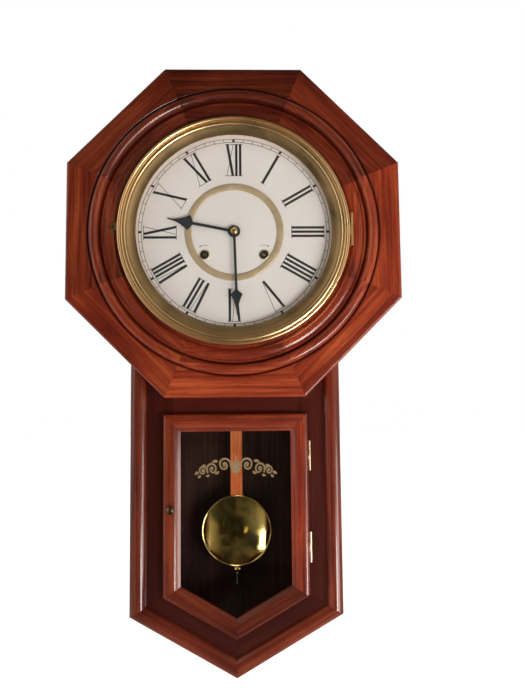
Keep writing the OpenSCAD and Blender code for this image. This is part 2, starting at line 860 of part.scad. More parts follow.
module dial_glass() {
    color("lightblue", 0.3) stood_up() round_at([0, 0], glass_seat_r - 0.2, glass_back, dial_glass_front);
}

module glass_retaining_ring() {
    ring_t = 1.88;
    color("darkgoldenrod") stood_up() slab(glass_back - e - ring_t, glass_back - e) difference() {
        circle(r = glass_seat_r - 0.1);
        circle(r = bezel_in + 1.5);
    }
}

// Sleeves of a hinge along y, centred at y: the two end ones, or the middle one
module sleeves(x, y, d, r, length, ends) {
    third = length / 3;
    for (s = ends ? [-1, 1] : [0]) hinge_pin(x, y + s * third, d, r, third - 2 * knuckle_gap);
}

// The pin of a hinge along y, centred at y
module hinge_pin(x, y, d, r, length) {
    translate([x, y, d]) rotate([90, 0, 0]) cylinder(r = r, h = length, center = true);
}

module bezel_hinge_case_leaf() {
    half_k = bezel_hinge_len / 6 - knuckle_gap;
    leaf_w = 9;
    leaf_d = [seat_d + e, seat_d + e + bezel_leaf_t];
    color("gold") stood_up() difference() {
        union() {
            sleeves(bezel_hinge_x, 0, bezel_hinge_d, bezel_hinge_r, bezel_hinge_len, true);
            hinge_pin(bezel_hinge_x, 0, bezel_hinge_d, bezel_pin_r, bezel_hinge_len - 0.6);
            for (y = [-1, 1] * bezel_hinge_len / 3) {
                block([bezel_hinge_x - leaf_w, bezel_hinge_x], [y - half_k, y + half_k], leaf_d);
                block([bezel_hinge_x - 0.5, bezel_hinge_x + 0.5], [y - half_k, y + half_k],
                    [leaf_d[0], bezel_hinge_d - 1]);
            }
        }
        front_screw_bores();
    }
}

module bezel_hinge_leaf() {
    tab_half = bezel_hinge_len / 6 - knuckle_gap - 0.3;
    tab_w = 1.4;
    color("gold") stood_up() difference() {
        union() {
            sleeves(bezel_hinge_x, 0, bezel_hinge_d, bezel_hinge_r, bezel_hinge_len, false);
            block([bezel_r + e, bezel_r + e + tab_w], [-tab_half, tab_half],
                [bezel_hinge_d - 1, bezel_hinge_d + 1]);
        }
        hinge_pin(bezel_hinge_x, 0, bezel_hinge_d, bezel_pin_r + run, bezel_hinge_len);
    }
}

module bezel_catch_outline(grow) {
    r = catch_r + grow;
    translate([catch_screw_x, catch_y]) circle(r = r);
    translate([catch_screw_x, catch_y - r]) square([5.2 + grow, 2 * r]);
}

module bezel_catch() {
    lip_x = [-bezel_r - 1.6, -bezel_r - 0.8];
    lip_h = 5;
    color("gold") stood_up() difference() {
        union() {
            slab(catch_d + e, catch_d + 1) bezel_catch_outline(0);
            block(lip_x, [catch_y - catch_r, catch_y + catch_r], [catch_d + e, catch_d + e + lip_h]);
        }
        front_screw_bores();
    }
}

// ---------------------------------------------------------------- door

// Section of the door's members: rounded outer edge, low dome, inner bevel, glass rebate
module door_section() {
    round_r = 4;
    bevel_w = 7;
    w = door_member;
    polygon(concat(
        [[0, door_back]],
        arc([round_r, door_front - round_r - 0.6], [round_r, round_r], 180, 90, 5),
        [[w / 2 - 2, door_front], [w - bevel_w - 1, door_front - 0.5]],
        [[w - bevel_w, door_front - 0.7], [w - 1, door_front - 4.6], [w, door_front - 4.8]],
        [[w, rebate_front], [w - rebate_w, rebate_front], [w - rebate_w, door_back]]
    ));
}

// One mitred member of the door. Corner k is where it starts
module door_piece(k) {
    start = door_outline(0)[k];
    end = door_outline(0)[(k + 1) % 5];
    len = norm(end - start);
    intersection() {
        translate([end[0], end[1], 0]) rotate([0, 0, bearing(end, start)])
            translate([-60, 0, 0]) moulding(len + 120) door_section();
        slab(door_back - 1, door_front + 1) door_mitre(k, 0, door_member);
    }
}

module knob_bore() {
    round_at([knob_x, knob_y], shank_r + run, door_back - 1, door_front + 1);
}

module door_top_rail() { color("chocolate") stood_up() door_piece(0); }
module door_right_stile() { color("chocolate") stood_up() door_piece(1); }
module door_bottom_right_rail() { color("chocolate") stood_up() door_piece(2); }
module door_bottom_left_rail() { color("chocolate") stood_up() door_piece(3); }
module door_left_stile() {
    color("chocolate") stood_up() difference() {
        door_piece(4);
        knob_bore();
    }
}

module door_glass() {
    color("lightblue", 0.3) stood_up() slab(rebate_front - glass_t - e, rebate_front - e)
        polygon(door_outline(door_member - rebate_w + 0.4));
}

module door_glass_beads() {
    color("chocolate") stood_up() slab(door_back, rebate_front - glass_t - 2 * e)
        for (k = [0:4]) door_mitre(k, door_member - rebate_w + 0.2, door_member - 0.6, 0.0004);
}

module door_hinge_case_leaves() {
    half_k = hinge_len / 6 - knuckle_gap;
    leaf_w = 12;
    leaf_d = [band_front + e, band_front + e + leaf_t];
    color("goldenrod") stood_up() for (y = hinge_ys) {
        sleeves(hinge_x, y, hinge_d, hinge_r, hinge_len, true);
        hinge_pin(hinge_x, y, hinge_d, pin_r, hinge_len - 0.6);
        for (k = [y - hinge_len / 3, y + hinge_len / 3]) {
            block([hinge_x - leaf_w, hinge_x], [k - half_k, k + half_k], leaf_d);
            block([hinge_x - 1, hinge_x + 1], [k - half_k, k + half_k], [leaf_d[0], leaf_d[1] + 0.6]);
        }
    }
}

module door_hinge_leaves() {
    half_k = hinge_len / 6 - knuckle_gap;
    leaf_h = 6;
    color("goldenrod") stood_up() difference() {
        for (y = hinge_ys) {
            sleeves(hinge_x, y, hinge_d, hinge_r, hinge_len, false);
            block([door_half + e, door_half + e + leaf_t], [y - half_k, y + half_k],
                [hinge_d + 0.4, hinge_d + 0.4 + leaf_h]);
        }
        for (y = hinge_ys) hinge_pin(hinge_x, y, hinge_d, pin_r + run, hinge_len);
    }
}

// Turned knob with its spindle and the tongue that it turns behind the face frame
module door_knob() {
    tongue_d = [83.4, 85];
    color("darkgoldenrod") stood_up() translate([knob_x, knob_y, 0]) {
        round_at([0, 0], shank_r, tongue_d[0], door_front + 1);
        block([-2, 2], [-tongue_len, 0], tongue_d);
        translate([0, 0, door_front + 0.2]) rotate_extrude() polygon(concat(
            [[0, 0], [4.6, 0], [4.6, 0.8], [2.8, 1.6]],
            arc([0, 5.4], [5.6, 3.6], -50, 90, 12)
        ));
    }
}

// ---------------------------------------------------------------- pendulum

module suspension_spring() {
    color("silver") stood_up() {
        block([-0.15, 0.15], [spring_end, hang_y], [rod_d - 2.5, rod_d + 2.5]);
        block([-3, 3], [rod_top, spring_end + 0.2], [rod_d - 3.5, rod_d + 3.5]);
    }
}

module pendulum_rod() {
    color("peru") stood_up() block([-rod_w / 2, rod_w / 2], [rod_end, rod_top - e],
        [rod_d - rod_t / 2, rod_d + rod_t / 2]);
}

module pendulum_bob() {
    dome = 6;
    lens_r = (pow(bob_r, 2) + pow(dome, 2)) / (2 * dome);
    half_angle = asin(bob_r / lens_r);
    slot = [rod_w / 2 + 0.1, rod_t / 2 + 0.1];
    color("gold") stood_up() difference() {
        translate([0, -bob_y, rod_d - bob_t / 2]) rotate_extrude() polygon(concat(
            [[0, 0], [bob_r - 4, 0], [bob_r - 0.6, 2], [bob_r, 4]],
            arc([0, bob_t - lens_r], [lens_r, lens_r], 90 - half_angle, 90, 14),
            [[0, bob_t - dome]]
        ));
        block([-slot[0], slot[0]], [-bob_y - bob_r - 1, bob_r + 1 - bob_y],
            [rod_d - slot[1], rod_d + slot[1]]);
    }
}

module rating_screw() {
    length = 29;
    color("silver") stood_up() translate([0, rod_end - e, rod_d]) rotate([90, 0, 0])
        cylinder(r = 1, h = length);
}

module rating_nut() {
    color("gold") stood_up() translate([0, -bob_y - bob_r - 0.4, rod_d]) rotate([90, 0, 0])
        rotate_extrude() polygon([
            [1 + run, 0], [4.4, 0], [4.6, 0.4], [4.6, 3.6], [4.2, 4], [2.6, 6.4], [1.9, 9.6], [1 + run, 9.6]
        ]);
}

backboard();
hanger_plate();
wood_screws();
side_board_left();
side_board_right();
case_top_board();
bottom_board_left();
bottom_board_right();
octagon_segments();
frame_left_stile();
frame_right_stile();
frame_top_rail();
frame_bottom_left_rail();
frame_bottom_right_rail();
dial_plate();
dial_centre_ring();
winding_hole_grommets();
movement_front_plate();
movement_back_plate();
movement_pillars();
suspension_cock();
time_mainspring();
strike_mainspring();
gong();
door_hinge_case_leaves();
bezel_hinge_case_leaf();
bezel_catch();
door_left_stile();
door_right_stile();
door_top_rail();
door_bottom_left_rail();
door_bottom_right_rail();
door_glass();
door_glass_beads();
door_hinge_leaves();
door_knob();
bezel_ring();
dial_glass();
glass_retaining_ring();
bezel_hinge_leaf();
minute_hand();
hand_nut();
centre_arbor();
centre_wheel();
hour_hand();
hour_wheel();
minute_wheel();
time_winding_arbor();
strike_winding_arbor();
time_great_wheel();
strike_great_wheel();
third_wheel();
escape_wheel();
anchor_and_crutch();
suspension_spring();
pendulum_rod();
pendulum_bob();
rating_screw();
rating_nut();
strike_hammer();
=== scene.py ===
import json
from math import atan2, cos, hypot, pi, radians, sin, sqrt, tan

import bmesh
import bpy
from mathutils import Matrix, Vector


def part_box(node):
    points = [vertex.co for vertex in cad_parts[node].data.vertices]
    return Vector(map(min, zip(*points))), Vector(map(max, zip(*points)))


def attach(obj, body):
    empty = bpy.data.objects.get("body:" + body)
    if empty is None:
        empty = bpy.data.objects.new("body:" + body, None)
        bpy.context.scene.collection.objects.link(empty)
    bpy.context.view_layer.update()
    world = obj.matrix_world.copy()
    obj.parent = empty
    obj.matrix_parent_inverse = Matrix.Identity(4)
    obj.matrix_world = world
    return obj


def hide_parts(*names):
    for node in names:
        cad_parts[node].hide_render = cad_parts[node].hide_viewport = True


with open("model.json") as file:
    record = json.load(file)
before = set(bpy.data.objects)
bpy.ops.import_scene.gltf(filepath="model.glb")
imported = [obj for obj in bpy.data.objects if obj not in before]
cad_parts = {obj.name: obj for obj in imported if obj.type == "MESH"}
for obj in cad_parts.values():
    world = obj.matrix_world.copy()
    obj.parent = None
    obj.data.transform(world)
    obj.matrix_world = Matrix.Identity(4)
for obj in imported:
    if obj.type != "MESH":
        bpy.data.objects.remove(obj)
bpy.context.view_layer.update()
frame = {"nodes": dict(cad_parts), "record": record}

# Shapes are drawn in millimetres in the face view: x to the right and y up from the dial's
# centre, and d away from the wall. place() takes them to the row frame, in metres.
MM = 0.001
dial_low, dial_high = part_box("dial_plate")
DIAL_Z = (dial_low[2] + dial_high[2]) / 2


def place(x, y, d):
    return Vector((x * MM, -d * MM, DIAL_Z + y * MM))


def span(node):
    """A CAD node's extent along x, y and d, each as (lowest, highest)."""
    low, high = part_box(node)
    across = (low[0] / MM, high[0] / MM)
    up = ((low[2] - DIAL_Z) / MM, (high[2] - DIAL_Z) / MM)
    out = (-high[1] / MM, -low[1] / MM)
    return across, up, out


# ---------------------------------------------------------------- sizes from the frame

# The octagon's half width across its flats, its back, the crest of its large bead and its face
OCT_R = span("octagon_segments")[0][1]
OCT_BACK, OCT_FRONT = span("octagon_segments")[2]
OCT_FLAT = OCT_FRONT - 4
# The lower case: half its width, the corners of its V, the top of its stiles, the V's tip and
# how steep it is, and the back and front of its frame
TRUNK_HALF = span("frame_right_stile")[0][1]
TRUNK_CORNER = span("frame_right_stile")[1][0]
TRUNK_TOP = span("frame_right_stile")[1][1]
TRUNK_TIP = span("frame_bottom_right_rail")[1][0]
V_SLOPE = atan2(TRUNK_CORNER - TRUNK_TIP, TRUNK_HALF)
BAND_BACK, BAND_FRONT = span("frame_top_rail")[2]
# The door, its glass and its knob
DOOR_HALF = span("door_top_rail")[0][1]
DOOR_TOP = span("door_top_rail")[1][1]
DOOR_INSET = TRUNK_HALF - DOOR_HALF
DOOR_BACK, DOOR_FRONT = span("door_right_stile")[2]
DOOR_GLASS_D = span("door_glass")[2]
KNOB_AT = (-82, -355)
# The octagon's turned part: its outer radius, the grooves beside its large bead and the d of
# the bezel's seat
RING_R = 190.0
BEAD_GROOVES = (172.6, 188.2)
SEAT_D = 108
# The width of the half-round border of the lower case
BORDER = 21
# The bezel, its glass, the dial, the winding holes in it and the bob
BEZEL_R = span("bezel_ring")[0][1]
BEZEL_BACK, BEZEL_FRONT = span("bezel_ring")[2]
DIAL_GLASS_D = span("dial_glass")[2]
DIAL_D = span("dial_plate")[2]
GROMMET_X, GROMMET_Y = span("winding_hole_grommets")[:2]
GROMMET_R = (GROMMET_Y[1] - GROMMET_Y[0]) / 2
WINDING_AT = (GROMMET_X[1] - GROMMET_R, GROMMET_Y[0] + GROMMET_R)
BOB_X, BOB_Y, BOB_D = span("pendulum_bob")


# ---------------------------------------------------------------- shapes

def arc(centre, half, start, end, count):
    """Points of an ellipse about centre, with the half axes half, from start to end degrees."""
    points = []
    for i in range(count + 1):
        a = radians(start + (end - start) * i / count)
        points.append((centre[0] + half[0] * cos(a), centre[1] + half[1] * sin(a)))
    return points


def loft(loops, closed=False):
    """Joins equal closed loops of points in a row, with end caps unless the row is closed."""
    count = len(loops[0])
    verts = [point for loop in loops for point in loop]
    faces = []
    for i in range(len(loops) if closed else len(loops) - 1):
        a = i * count
        b = (i + 1) % len(loops) * count
        for j in range(count):
            k = (j + 1) % count
            faces.append((a + j, a + k, b + k, b + j))
    if not closed:
        last = (len(loops) - 1) * count
        faces.append(tuple(range(count)))
        faces.append(tuple(last + j for j in range(count)))
    return verts, faces


def join(shapes):
    """Several shapes of (verts, faces) as one."""
    verts = []
    faces = []
    for shape in shapes:
        first = len(verts)
        verts += shape[0]
        faces += [tuple(first + i for i in face) for face in shape[1]]
    return verts, faces


def prism(outline, d0, d1):
    """A flat outline of (x, y) points with straight sides from d0 to d1."""
    return loft([[(x, y, d) for x, y in outline] for d in (d0, d1)])


def turned(section, centre=(0, 0), steps=256):
    """A closed section of (radius, d) points turned about an axis that points out of the wall."""
    loops = []
    for i in range(steps):
        a = 2 * pi * i / steps
        loops.append([(centre[0] + r * sin(a), centre[1] + r * cos(a), d) for r, d in section])
    return loft(loops, closed=True)


def upright(section, x, d, steps, flutes, depth):
    """A section of (radius, y, fluted) points turned about the upright axis at x and d. Where
    fluted is 1, the given number of flutes are cut to that depth."""
    loops = []
    for i in range(steps):
        a = 2 * pi * i / steps
        loop = []
        for r, y, fluted in section:
            radius = r - fluted * depth * (0.5 - 0.5 * cos(flutes * a))
            loop.append((x + radius * sin(a), y, d + radius * cos(a)))
        loops.append(loop)
    return loft(loops, closed=True)


def add(name, data):
    """A new object in the scene."""
    obj = bpy.data.objects.new(name, data)
    bpy.context.scene.collection.objects.link(obj)
    return obj


def sharpen(mesh, angle):
    """Shades the mesh smooth but for edges that turn by more than angle degrees."""
    mesh.shade_smooth()
    mesh.set_sharp_from_angle(angle=radians(angle))


def solid(name, shape, smooth=35):
    """A new object in the scene from a shape of (verts, faces) in the face view."""
    mesh = bpy.data.meshes.new(name)
    mesh.from_pydata([place(*point) for point in shape[0]], [], shape[1])
    work = bmesh.new()
    work.from_mesh(mesh)
    bmesh.ops.remove_doubles(work, verts=work.verts, dist=1e-7)
    bmesh.ops.recalc_face_normals(work, faces=work.faces)
    work.to_mesh(mesh)
    work.free()
    sharpen(mesh, smooth)
    return add(name, mesh)


def carve(obj, cutter):
    """Cuts cutter's shape out of obj and removes cutter."""
    cut = obj.modifiers.new("cut", "BOOLEAN")
    cut.operation = "DIFFERENCE"
    cut.solver = "EXACT"
    cut.object = cutter
    graph = bpy.context.evaluated_depsgraph_get()
    mesh = bpy.data.meshes.new_from_object(obj.evaluated_get(graph))
    obj.modifiers.clear()
    obj.data = mesh
    sharpen(mesh, 35)
    bpy.data.objects.remove(cutter)


def soften(obj, width, segments=2):
    """Rounds the sharp edges by a bevel of that width in millimetres."""
    bevel = obj.modifiers.new("soft_edges", "BEVEL")
    bevel.limit_method = "ANGLE"
    bevel.angle_limit = radians(30)
    bevel.width = width * MM
    bevel.segments = segments
    bevel.harden_normals = True


def dress(obj, material, slot, body, *nodes):
    """Gives a piece its finish, the body it rides on and the nodes it shows; slot, its record
    slot, is not used.
    """
    obj.data.materials.clear()
    obj.data.materials.append(material)
    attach(obj, body)
    if nodes:
        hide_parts(*nodes)
    return obj


def on_dial(angle, u, r):
    """A point at radius r in the direction angle, clockwise from twelve, and u to its right."""
    a = radians(angle)
    return r * sin(a) + u * cos(a), r * cos(a) - u * sin(a)


# ---------------------------------------------------------------- materials

class Nodes:
    """A node tree being built. node() adds a node and returns one of its outputs."""

    def __init__(self, tree):
        self.tree = tree

    def feed(self, node, inputs):
        """Links each input that is given an output, and sets each that is given a value."""
        for key, value in inputs.items():
            if isinstance(value, bpy.types.NodeSocket):
                self.tree.links.new(value, node.inputs[key])
            else:
                node.inputs[key].default_value = value

    def node(self, kind, inputs, output=0, **settings):
        node = self.tree.nodes.new("ShaderNode" + kind)
        for key, value in settings.items():
            setattr(node, key, value)
        self.feed(node, inputs)
        return node.outputs[output]

    def math(self, operation, a, b=0.0, c=0.0):
        return self.node("Math", {0: a, 1: b, 2: c}, operation=operation)

    def split(self, vector):
        """The x, y and z outputs of a vector."""
        node = self.tree.nodes.new("ShaderNodeSeparateXYZ")
        self.feed(node, {0: vector})
        return node.outputs

    def noise(self, where, scale, detail=3, rough=0.55, distortion=0):
        inputs = {"Vector": where, "Scale": scale, "Detail": detail}
        inputs.update({"Roughness": rough, "Distortion": distortion})
        return self.node("TexNoise", inputs, "Fac")

    def spread(self, value, low, high, to_low=0.0, to_high=1.0):
        """Maps low to high onto to_low to to_high, clamped."""
        inputs = {"Value": value, "From Min": low, "From Max": high}
        inputs.update({"To Min": to_low, "To Max": to_high})
        return self.node("MapRange", inputs, "Result")

    def mix(self, amount, a, b, blend="MIX"):
        """Mixes two colours; 6, 7 and 2 are the places of the Mix node's colour sockets."""
        inputs = {0: amount, 6: a, 7: b}
        return self.node("Mix", inputs, 2, data_type="RGBA", blend_type=blend)

    def ramp(self, value, stops):
        """A colour ramp through stops of (position, colour)."""
        node = self.tree.nodes.new("ShaderNodeValToRGB")
        band = node.color_ramp
        while len(band.elements) < len(stops):
            band.elements.new(0.5)
        for element, (position, colour) in zip(band.elements, stops):
            element.position = position
            element.color = (*colour, 1)
        self.tree.links.new(value, node.inputs[0])
        return node.outputs[0]

    def where(self):
        """Object coordinates, which are the row frame's metres on every piece."""
        return self.node("TexCoord", {}, "Object")

    def mapped(self, vector, rotation=(0, 0, 0), scale=(1, 1, 1), shift=(0, 0, 0)):
        inputs = {"Vector": vector, "Rotation": rotation, "Scale": scale, "Location": shift}
        return self.node("Mapping", inputs)

    def bump(self, height, strength, distance):
        inputs = {"Height": height, "Strength": strength, "Distance": distance}
        return self.node("Bump", inputs)


class Paint(Nodes):
    """A node material being built."""

    def __init__(self, name):
        self.material = bpy.data.materials.new(name)
        self.material.use_nodes = True
        super().__init__(self.material.node_tree)
        self.shader = self.tree.nodes["Principled BSDF"]

    def finish(self, **inputs):
        """Sets the shader's inputs, with _ for a space in their names."""
        self.feed(self.shader, {key.replace("_", " "): value for key, value in inputs.items()})
        return self.material


# Woods: the ramp's three colours, the lacquer's strength and roughness, and the wood's own
MAHOGANY = {
    "dark": (0.080, 0.0070, 0.0035),
    "middle": (0.230, 0.0285, 0.0092),
    "light": (0.420, 0.0790, 0.0220),
    "coat": 0.75,
    "coat_rough": 0.16,
    "rough": 0.45,
}
CASE_WOOD = {
    "dark": (0.045, 0.010, 0.006),
    "middle": (0.125, 0.034, 0.016),
    "light": (0.215, 0.070, 0.030),
    "coat": 0.35,
    "coat_rough": 0.28,
    "rough": 0.5,
}
# The backboard: a dark stain, made darker still as painted shade for the shadowed inside of the
# case
BACK_WOOD = {
    "dark": (0.018, 0.0060, 0.0045),
    "middle": (0.043, 0.0140, 0.0095),
    "light": (0.072, 0.0260, 0.0170),
    "coat": 0.1,
    "coat_rough": 0.4,
    "rough": 0.65,
}
ROD_WOOD = {
    "dark": (0.420, 0.075, 0.020),
    "middle": (0.760, 0.165, 0.045),
    "light": (0.920, 0.300, 0.095),
    "coat": 0.6,
    "coat_rough": 0.2,
    "rough": 0.4,
}


def with_painted_light(tones, share):
    """The same wood made darker or lighter by share, to paint light and shade on one piece."""
    lit_wood = dict(tones)
    for key in ("dark", "middle", "light"):
        lit_wood[key] = tuple(min(channel * share, 0.9) for channel in tones[key])
    return lit_wood


def wood(name, grain, seed, tones, painted_shade=None):
    """Lacquered wood. The grain runs at the angle grain in the face view, from the x axis.
    painted_shade(paint) gives the share of the painted shade at each point."""
    paint = Paint(name)
    turned_in = paint.mapped(paint.where(), rotation=(0, radians(grain), 0))
    offset = (seed * 3.7, seed * 1.9, seed * 5.3)

    def layer(scale, **settings):
        return paint.noise(paint.mapped(turned_in, scale=scale, shift=offset), 1, **settings)

    figure = layer((3.2, 46, 46), detail=5, rough=0.62, distortion=0.9)
    streak = layer((7, 230, 230), detail=4, rough=0.65, distortion=0.4)
    fibre = layer((22, 900, 900), rough=0.6)
    pores = paint.spread(layer((95, 2300, 2300), detail=1), 0.60, 0.72)
    cloud = layer((9, 16, 16), rough=0.5)
    tone = paint.math("MULTIPLY_ADD", figure, 0.75, paint.math("MULTIPLY_ADD", fibre, 0.25, -0.53))
    tone = paint.math("MULTIPLY_ADD", streak, 1.05, tone)
    tone = paint.math("ADD", tone, paint.spread(cloud, 0.3, 0.7, -0.14, 0.14))
    stops = [(0.22, tones["dark"]), (0.52, tones["middle"]), (0.84, tones["light"])]
    colour = paint.ramp(tone, stops)
    colour = paint.mix(paint.math("MULTIPLY", pores, 0.55), colour, (*tones["dark"], 1))
    if painted_shade:
        # The painted shade's colour: the middle colour made darker
        dark = [channel * share for channel, share in zip(tones["middle"], (0.26, 0.16, 0.25))]
        colour = paint.mix(painted_shade(paint), colour, (*dark, 1))
    height = paint.math("SUBTRACT", paint.math("MULTIPLY", fibre, 0.35), pores)
    wear = paint.spread(cloud, 0.25, 0.75, tones["rough"] - 0.08, tones["rough"] + 0.08)
    return paint.finish(
        Base_Color=colour,
        Roughness=wear,
        Normal=paint.bump(height, 0.25, 0.00006),
        Specular_IOR_Level=0.15,
        Coat_Weight=tones["coat"],
        Coat_Roughness=tones["coat_rough"],
    )


def face_view(paint):
    """The face view's x, y and d, in millimetres, as outputs of a material's nodes."""
    along, back, up = paint.split(paint.where())
    x = paint.math("MULTIPLY", along, 1 / MM)
    y = paint.math("MULTIPLY_ADD", up, 1 / MM, -DIAL_Z / MM)
    d = paint.math("MULTIPLY", back, -1 / MM)
    return x, y, d


def band_painted_shade(paint):
    """Painted shade on the recessed band between the lower case's rounded border and the door."""
    x, y = face_view(paint)[:2]
    across = paint.math("ABSOLUTE", x)
    side = paint.math("SUBTRACT", TRUNK_HALF, across)
    rise = paint.math("MULTIPLY_ADD", y, cos(V_SLOPE), -TRUNK_TIP * cos(V_SLOPE))
    slope = paint.math("MULTIPLY_ADD", across, -sin(V_SLOPE), rise)
    inwards = paint.math("MINIMUM", side, slope)
    return paint.spread(inwards, BORDER - 2.5, BORDER + 2, 0, 0.86)


def groove_painted_shade(paint):
    """Painted shade in the grooves beside the octagon's large bead, on the front only."""
    x, y, d = face_view(paint)
    radius = paint.math("SQRT", paint.math("MULTIPLY_ADD", x, x, paint.math("MULTIPLY", y, y)))
    inner, outer = [
        paint.math("ABSOLUTE", paint.math("SUBTRACT", radius, groove)) for groove in BEAD_GROOVES
    ]
    # The painted shade is darkest at the bottom of each groove
    dark = paint.spread(paint.math("MINIMUM", inner, outer), 0.4, 2.4, 0.75, 0)
    return paint.math("MULTIPLY", dark, paint.spread(d, SEAT_D, SEAT_D + 1))


def metal(name, bright, dull, rough, scale, spread=0.5, grooves=0.0, centre=(0, 0), bump=0.15):
    """Metal with cloudy tarnish between two colours. scale is the clouds' and spread how soft
    they are; grooves is the strength of fine turned rings about centre."""
    paint = Paint(name)
    where = paint.where()
    cloud = paint.noise(where, scale, detail=6, rough=0.6)
    fine = paint.noise(where, scale * 14, detail=3)
    tarnish = paint.spread(cloud, 0.5 - spread / 2, 0.5 + spread / 2)
    roughness = paint.spread(cloud, 0.3, 0.7, rough - 0.05, rough + 0.10)
    height = paint.math("MULTIPLY", fine, 0.4)
    if grooves:
        spot = place(centre[0], centre[1], 0)
        parts = paint.split(paint.mapped(where, shift=(-spot.x, 0, -spot.z)))
        x, z = parts["X"], parts["Z"]
        radius = paint.math("SQRT", paint.math("MULTIPLY_ADD", z, z, paint.math("MULTIPLY", x, x)))
        rings_at = paint.node("CombineXYZ", {"X": paint.math("MULTIPLY", radius, 1900)})
        rings = paint.noise(rings_at, 1, detail=3, rough=0.7)
        streak_at = paint.node("CombineXYZ", {"X": paint.math("MULTIPLY", radius, 420)})
        streaks = paint.noise(streak_at, 1, detail=2)
        height = paint.math("MULTIPLY_ADD", rings, grooves, height)
        tarnish = paint.math("MULTIPLY_ADD", paint.spread(streaks, 0.35, 0.65), 0.3, tarnish)
        tarnish = paint.math("MINIMUM", tarnish, 1.0)
    colour = paint.mix(tarnish, (*bright, 1), (*dull, 1))
    return paint.finish(
        Base_Color=colour,
        Metallic=1.0,
        Roughness=roughness,
        Normal=paint.bump(height, bump, 0.00005),
    )


def coated(name, colour_a, colour_b, rough, scale, coat=0.0):
    """Paint, ink or enamel with a faint mottle of two close colours."""
    paint = Paint(name)
    where = paint.where()
    mottle = paint.noise(where, scale, detail=5, rough=0.6)
    grain = paint.noise(where, scale * 25, detail=2)
    colour = paint.mix(paint.spread(mottle, 0.3, 0.7), (*colour_a, 1), (*colour_b, 1))
    return paint.finish(
        Base_Color=colour,
        Roughness=paint.spread(mottle, 0.3, 0.7, rough - 0.04, rough + 0.06),
        Normal=paint.bump(grain, 0.08, 0.00004),
        Coat_Weight=coat,
        Coat_Roughness=0.12,
    )


def glass(name, tint):
    """Clear glass with a faint film of dust that only changes its roughness."""
    paint = Paint(name)
    film = paint.noise(paint.where(), 45, detail=5, rough=0.6)
    return paint.finish(
        Base_Color=(*tint, 1),
        Roughness=paint.spread(film, 0.35, 0.75, 0.0, 0.012),
        Transmission_Weight=1.0,
        IOR=1.45,
    )


BEZEL_BRASS = metal(
    "spun_brass", (0.99, 0.75, 0.42), (0.90, 0.60, 0.31),
    rough=0.30, scale=26, spread=0.7, grooves=0.5, bump=0.04,
)
BOB_BRASS = metal(
    "bob_brass", (0.90, 0.72, 0.27), (0.66, 0.50, 0.16),
    rough=0.10, scale=34, spread=0.7, grooves=0.12, centre=(0, (BOB_Y[0] + BOB_Y[1]) / 2),
)
HINGE_BRASS = metal("hinge_brass", (0.78, 0.66, 0.46), (0.40, 0.30, 0.18), rough=0.26, scale=160)
DARK_BRONZE = metal("dark_bronze", (0.20, 0.12, 0.07), (0.07, 0.04, 0.03), rough=0.30, scale=160)
BRIGHT_BRASS = metal("bright_brass", (0.80, 0.60, 0.27), (0.50, 0.34, 0.14), rough=0.20, scale=220)
GROMMET_BRASS = metal(
    "grommet_brass", (0.80, 0.68, 0.46), (0.55, 0.44, 0.26), rough=0.28, scale=200
)
MOVEMENT_BRASS = metal(
    "movement_brass", (0.66, 0.50, 0.25), (0.36, 0.25, 0.11), rough=0.32, scale=50
)
STEEL = metal("steel", (0.52, 0.52, 0.53), (0.24, 0.23, 0.22), rough=0.30, scale=90)
BLUED_STEEL = metal("blued_steel", (0.16, 0.18, 0.24), (0.06, 0.07, 0.10), rough=0.30, scale=90)
GONG_STEEL = metal("gong_steel", (0.16, 0.16, 0.18), (0.05, 0.05, 0.055), rough=0.38, scale=120)

ENAMEL = coated("dial_enamel", (0.82, 0.77, 0.75), (0.75, 0.70, 0.68), 0.36, 14, coat=0.2)
INK = coated("dial_ink", (0.012, 0.012, 0.016), (0.022, 0.021, 0.024), 0.42, 60)
BLACK = coated("black_steel", (0.014, 0.018, 0.021), (0.030, 0.036, 0.040), 0.34, 50, coat=0.3)
SCROLL_GILT = coated("scroll_gilt", (0.36, 0.25, 0.13), (0.23, 0.155, 0.075), 0.4, 200, coat=0.3)
RING_GILT = coated("ring_gilt", (0.49, 0.38, 0.24), (0.36, 0.27, 0.155), 0.34, 60, coat=0.5)
CLEAR_GLASS = glass("clear_glass", (0.97, 0.99, 0.98))

# The finish of each record slot that isn't wood
FINISHES = {
    "bezel_brass": BEZEL_BRASS,
    "aged_brass": HINGE_BRASS,
    "polished_brass": BRIGHT_BRASS,
    "gilt_ring": RING_GILT,
    "grommet_brass": GROMMET_BRASS,
    "movement_brass": MOVEMENT_BRASS,
    "steel": STEEL,
    "spring_steel": BLUED_STEEL,
    "gong_steel": GONG_STEEL,
    "dial_enamel": ENAMEL,
    "blackened_steel": BLACK,
    "door_glass": CLEAR_GLASS,
    "dial_glass": CLEAR_GLASS,
}
# The grain's angle in the face view of each wooden CAD node that is shown as it is
GRAIN = {
    "side_board_left": 90, "side_board_right": 90, "case_top_board": 0,
    "bottom_board_left": -29, "bottom_board_right": 29, "frame_top_rail": 0,
    "backboard": 90, "pendulum_rod": 90, "door_glass_beads": 90,
}
WOODS = {
    "mahogany_frame": MAHOGANY,
    "mahogany_door": MAHOGANY,
    "mahogany_case": CASE_WOOD,
    "backboard_wood": BACK_WOOD,
    "pendulum_wood": ROD_WOOD,
}


# ---------------------------------------------------------------- octagon

# The angle of the slanted rails' grain
RAIL_GRAIN = 29.5
# How deep a mitre's seam is, and how wide on each side
SEAM = 0.2
# Painted light and shade on each segment's wood, anticlockwise from the right: lightest at the
# right and bottom, darkest at the top
SEGMENT_PAINTED_LIGHT = [1.16, 0.66, 0.40, 0.50, 0.70, 0.92, 1.15, 1.18]


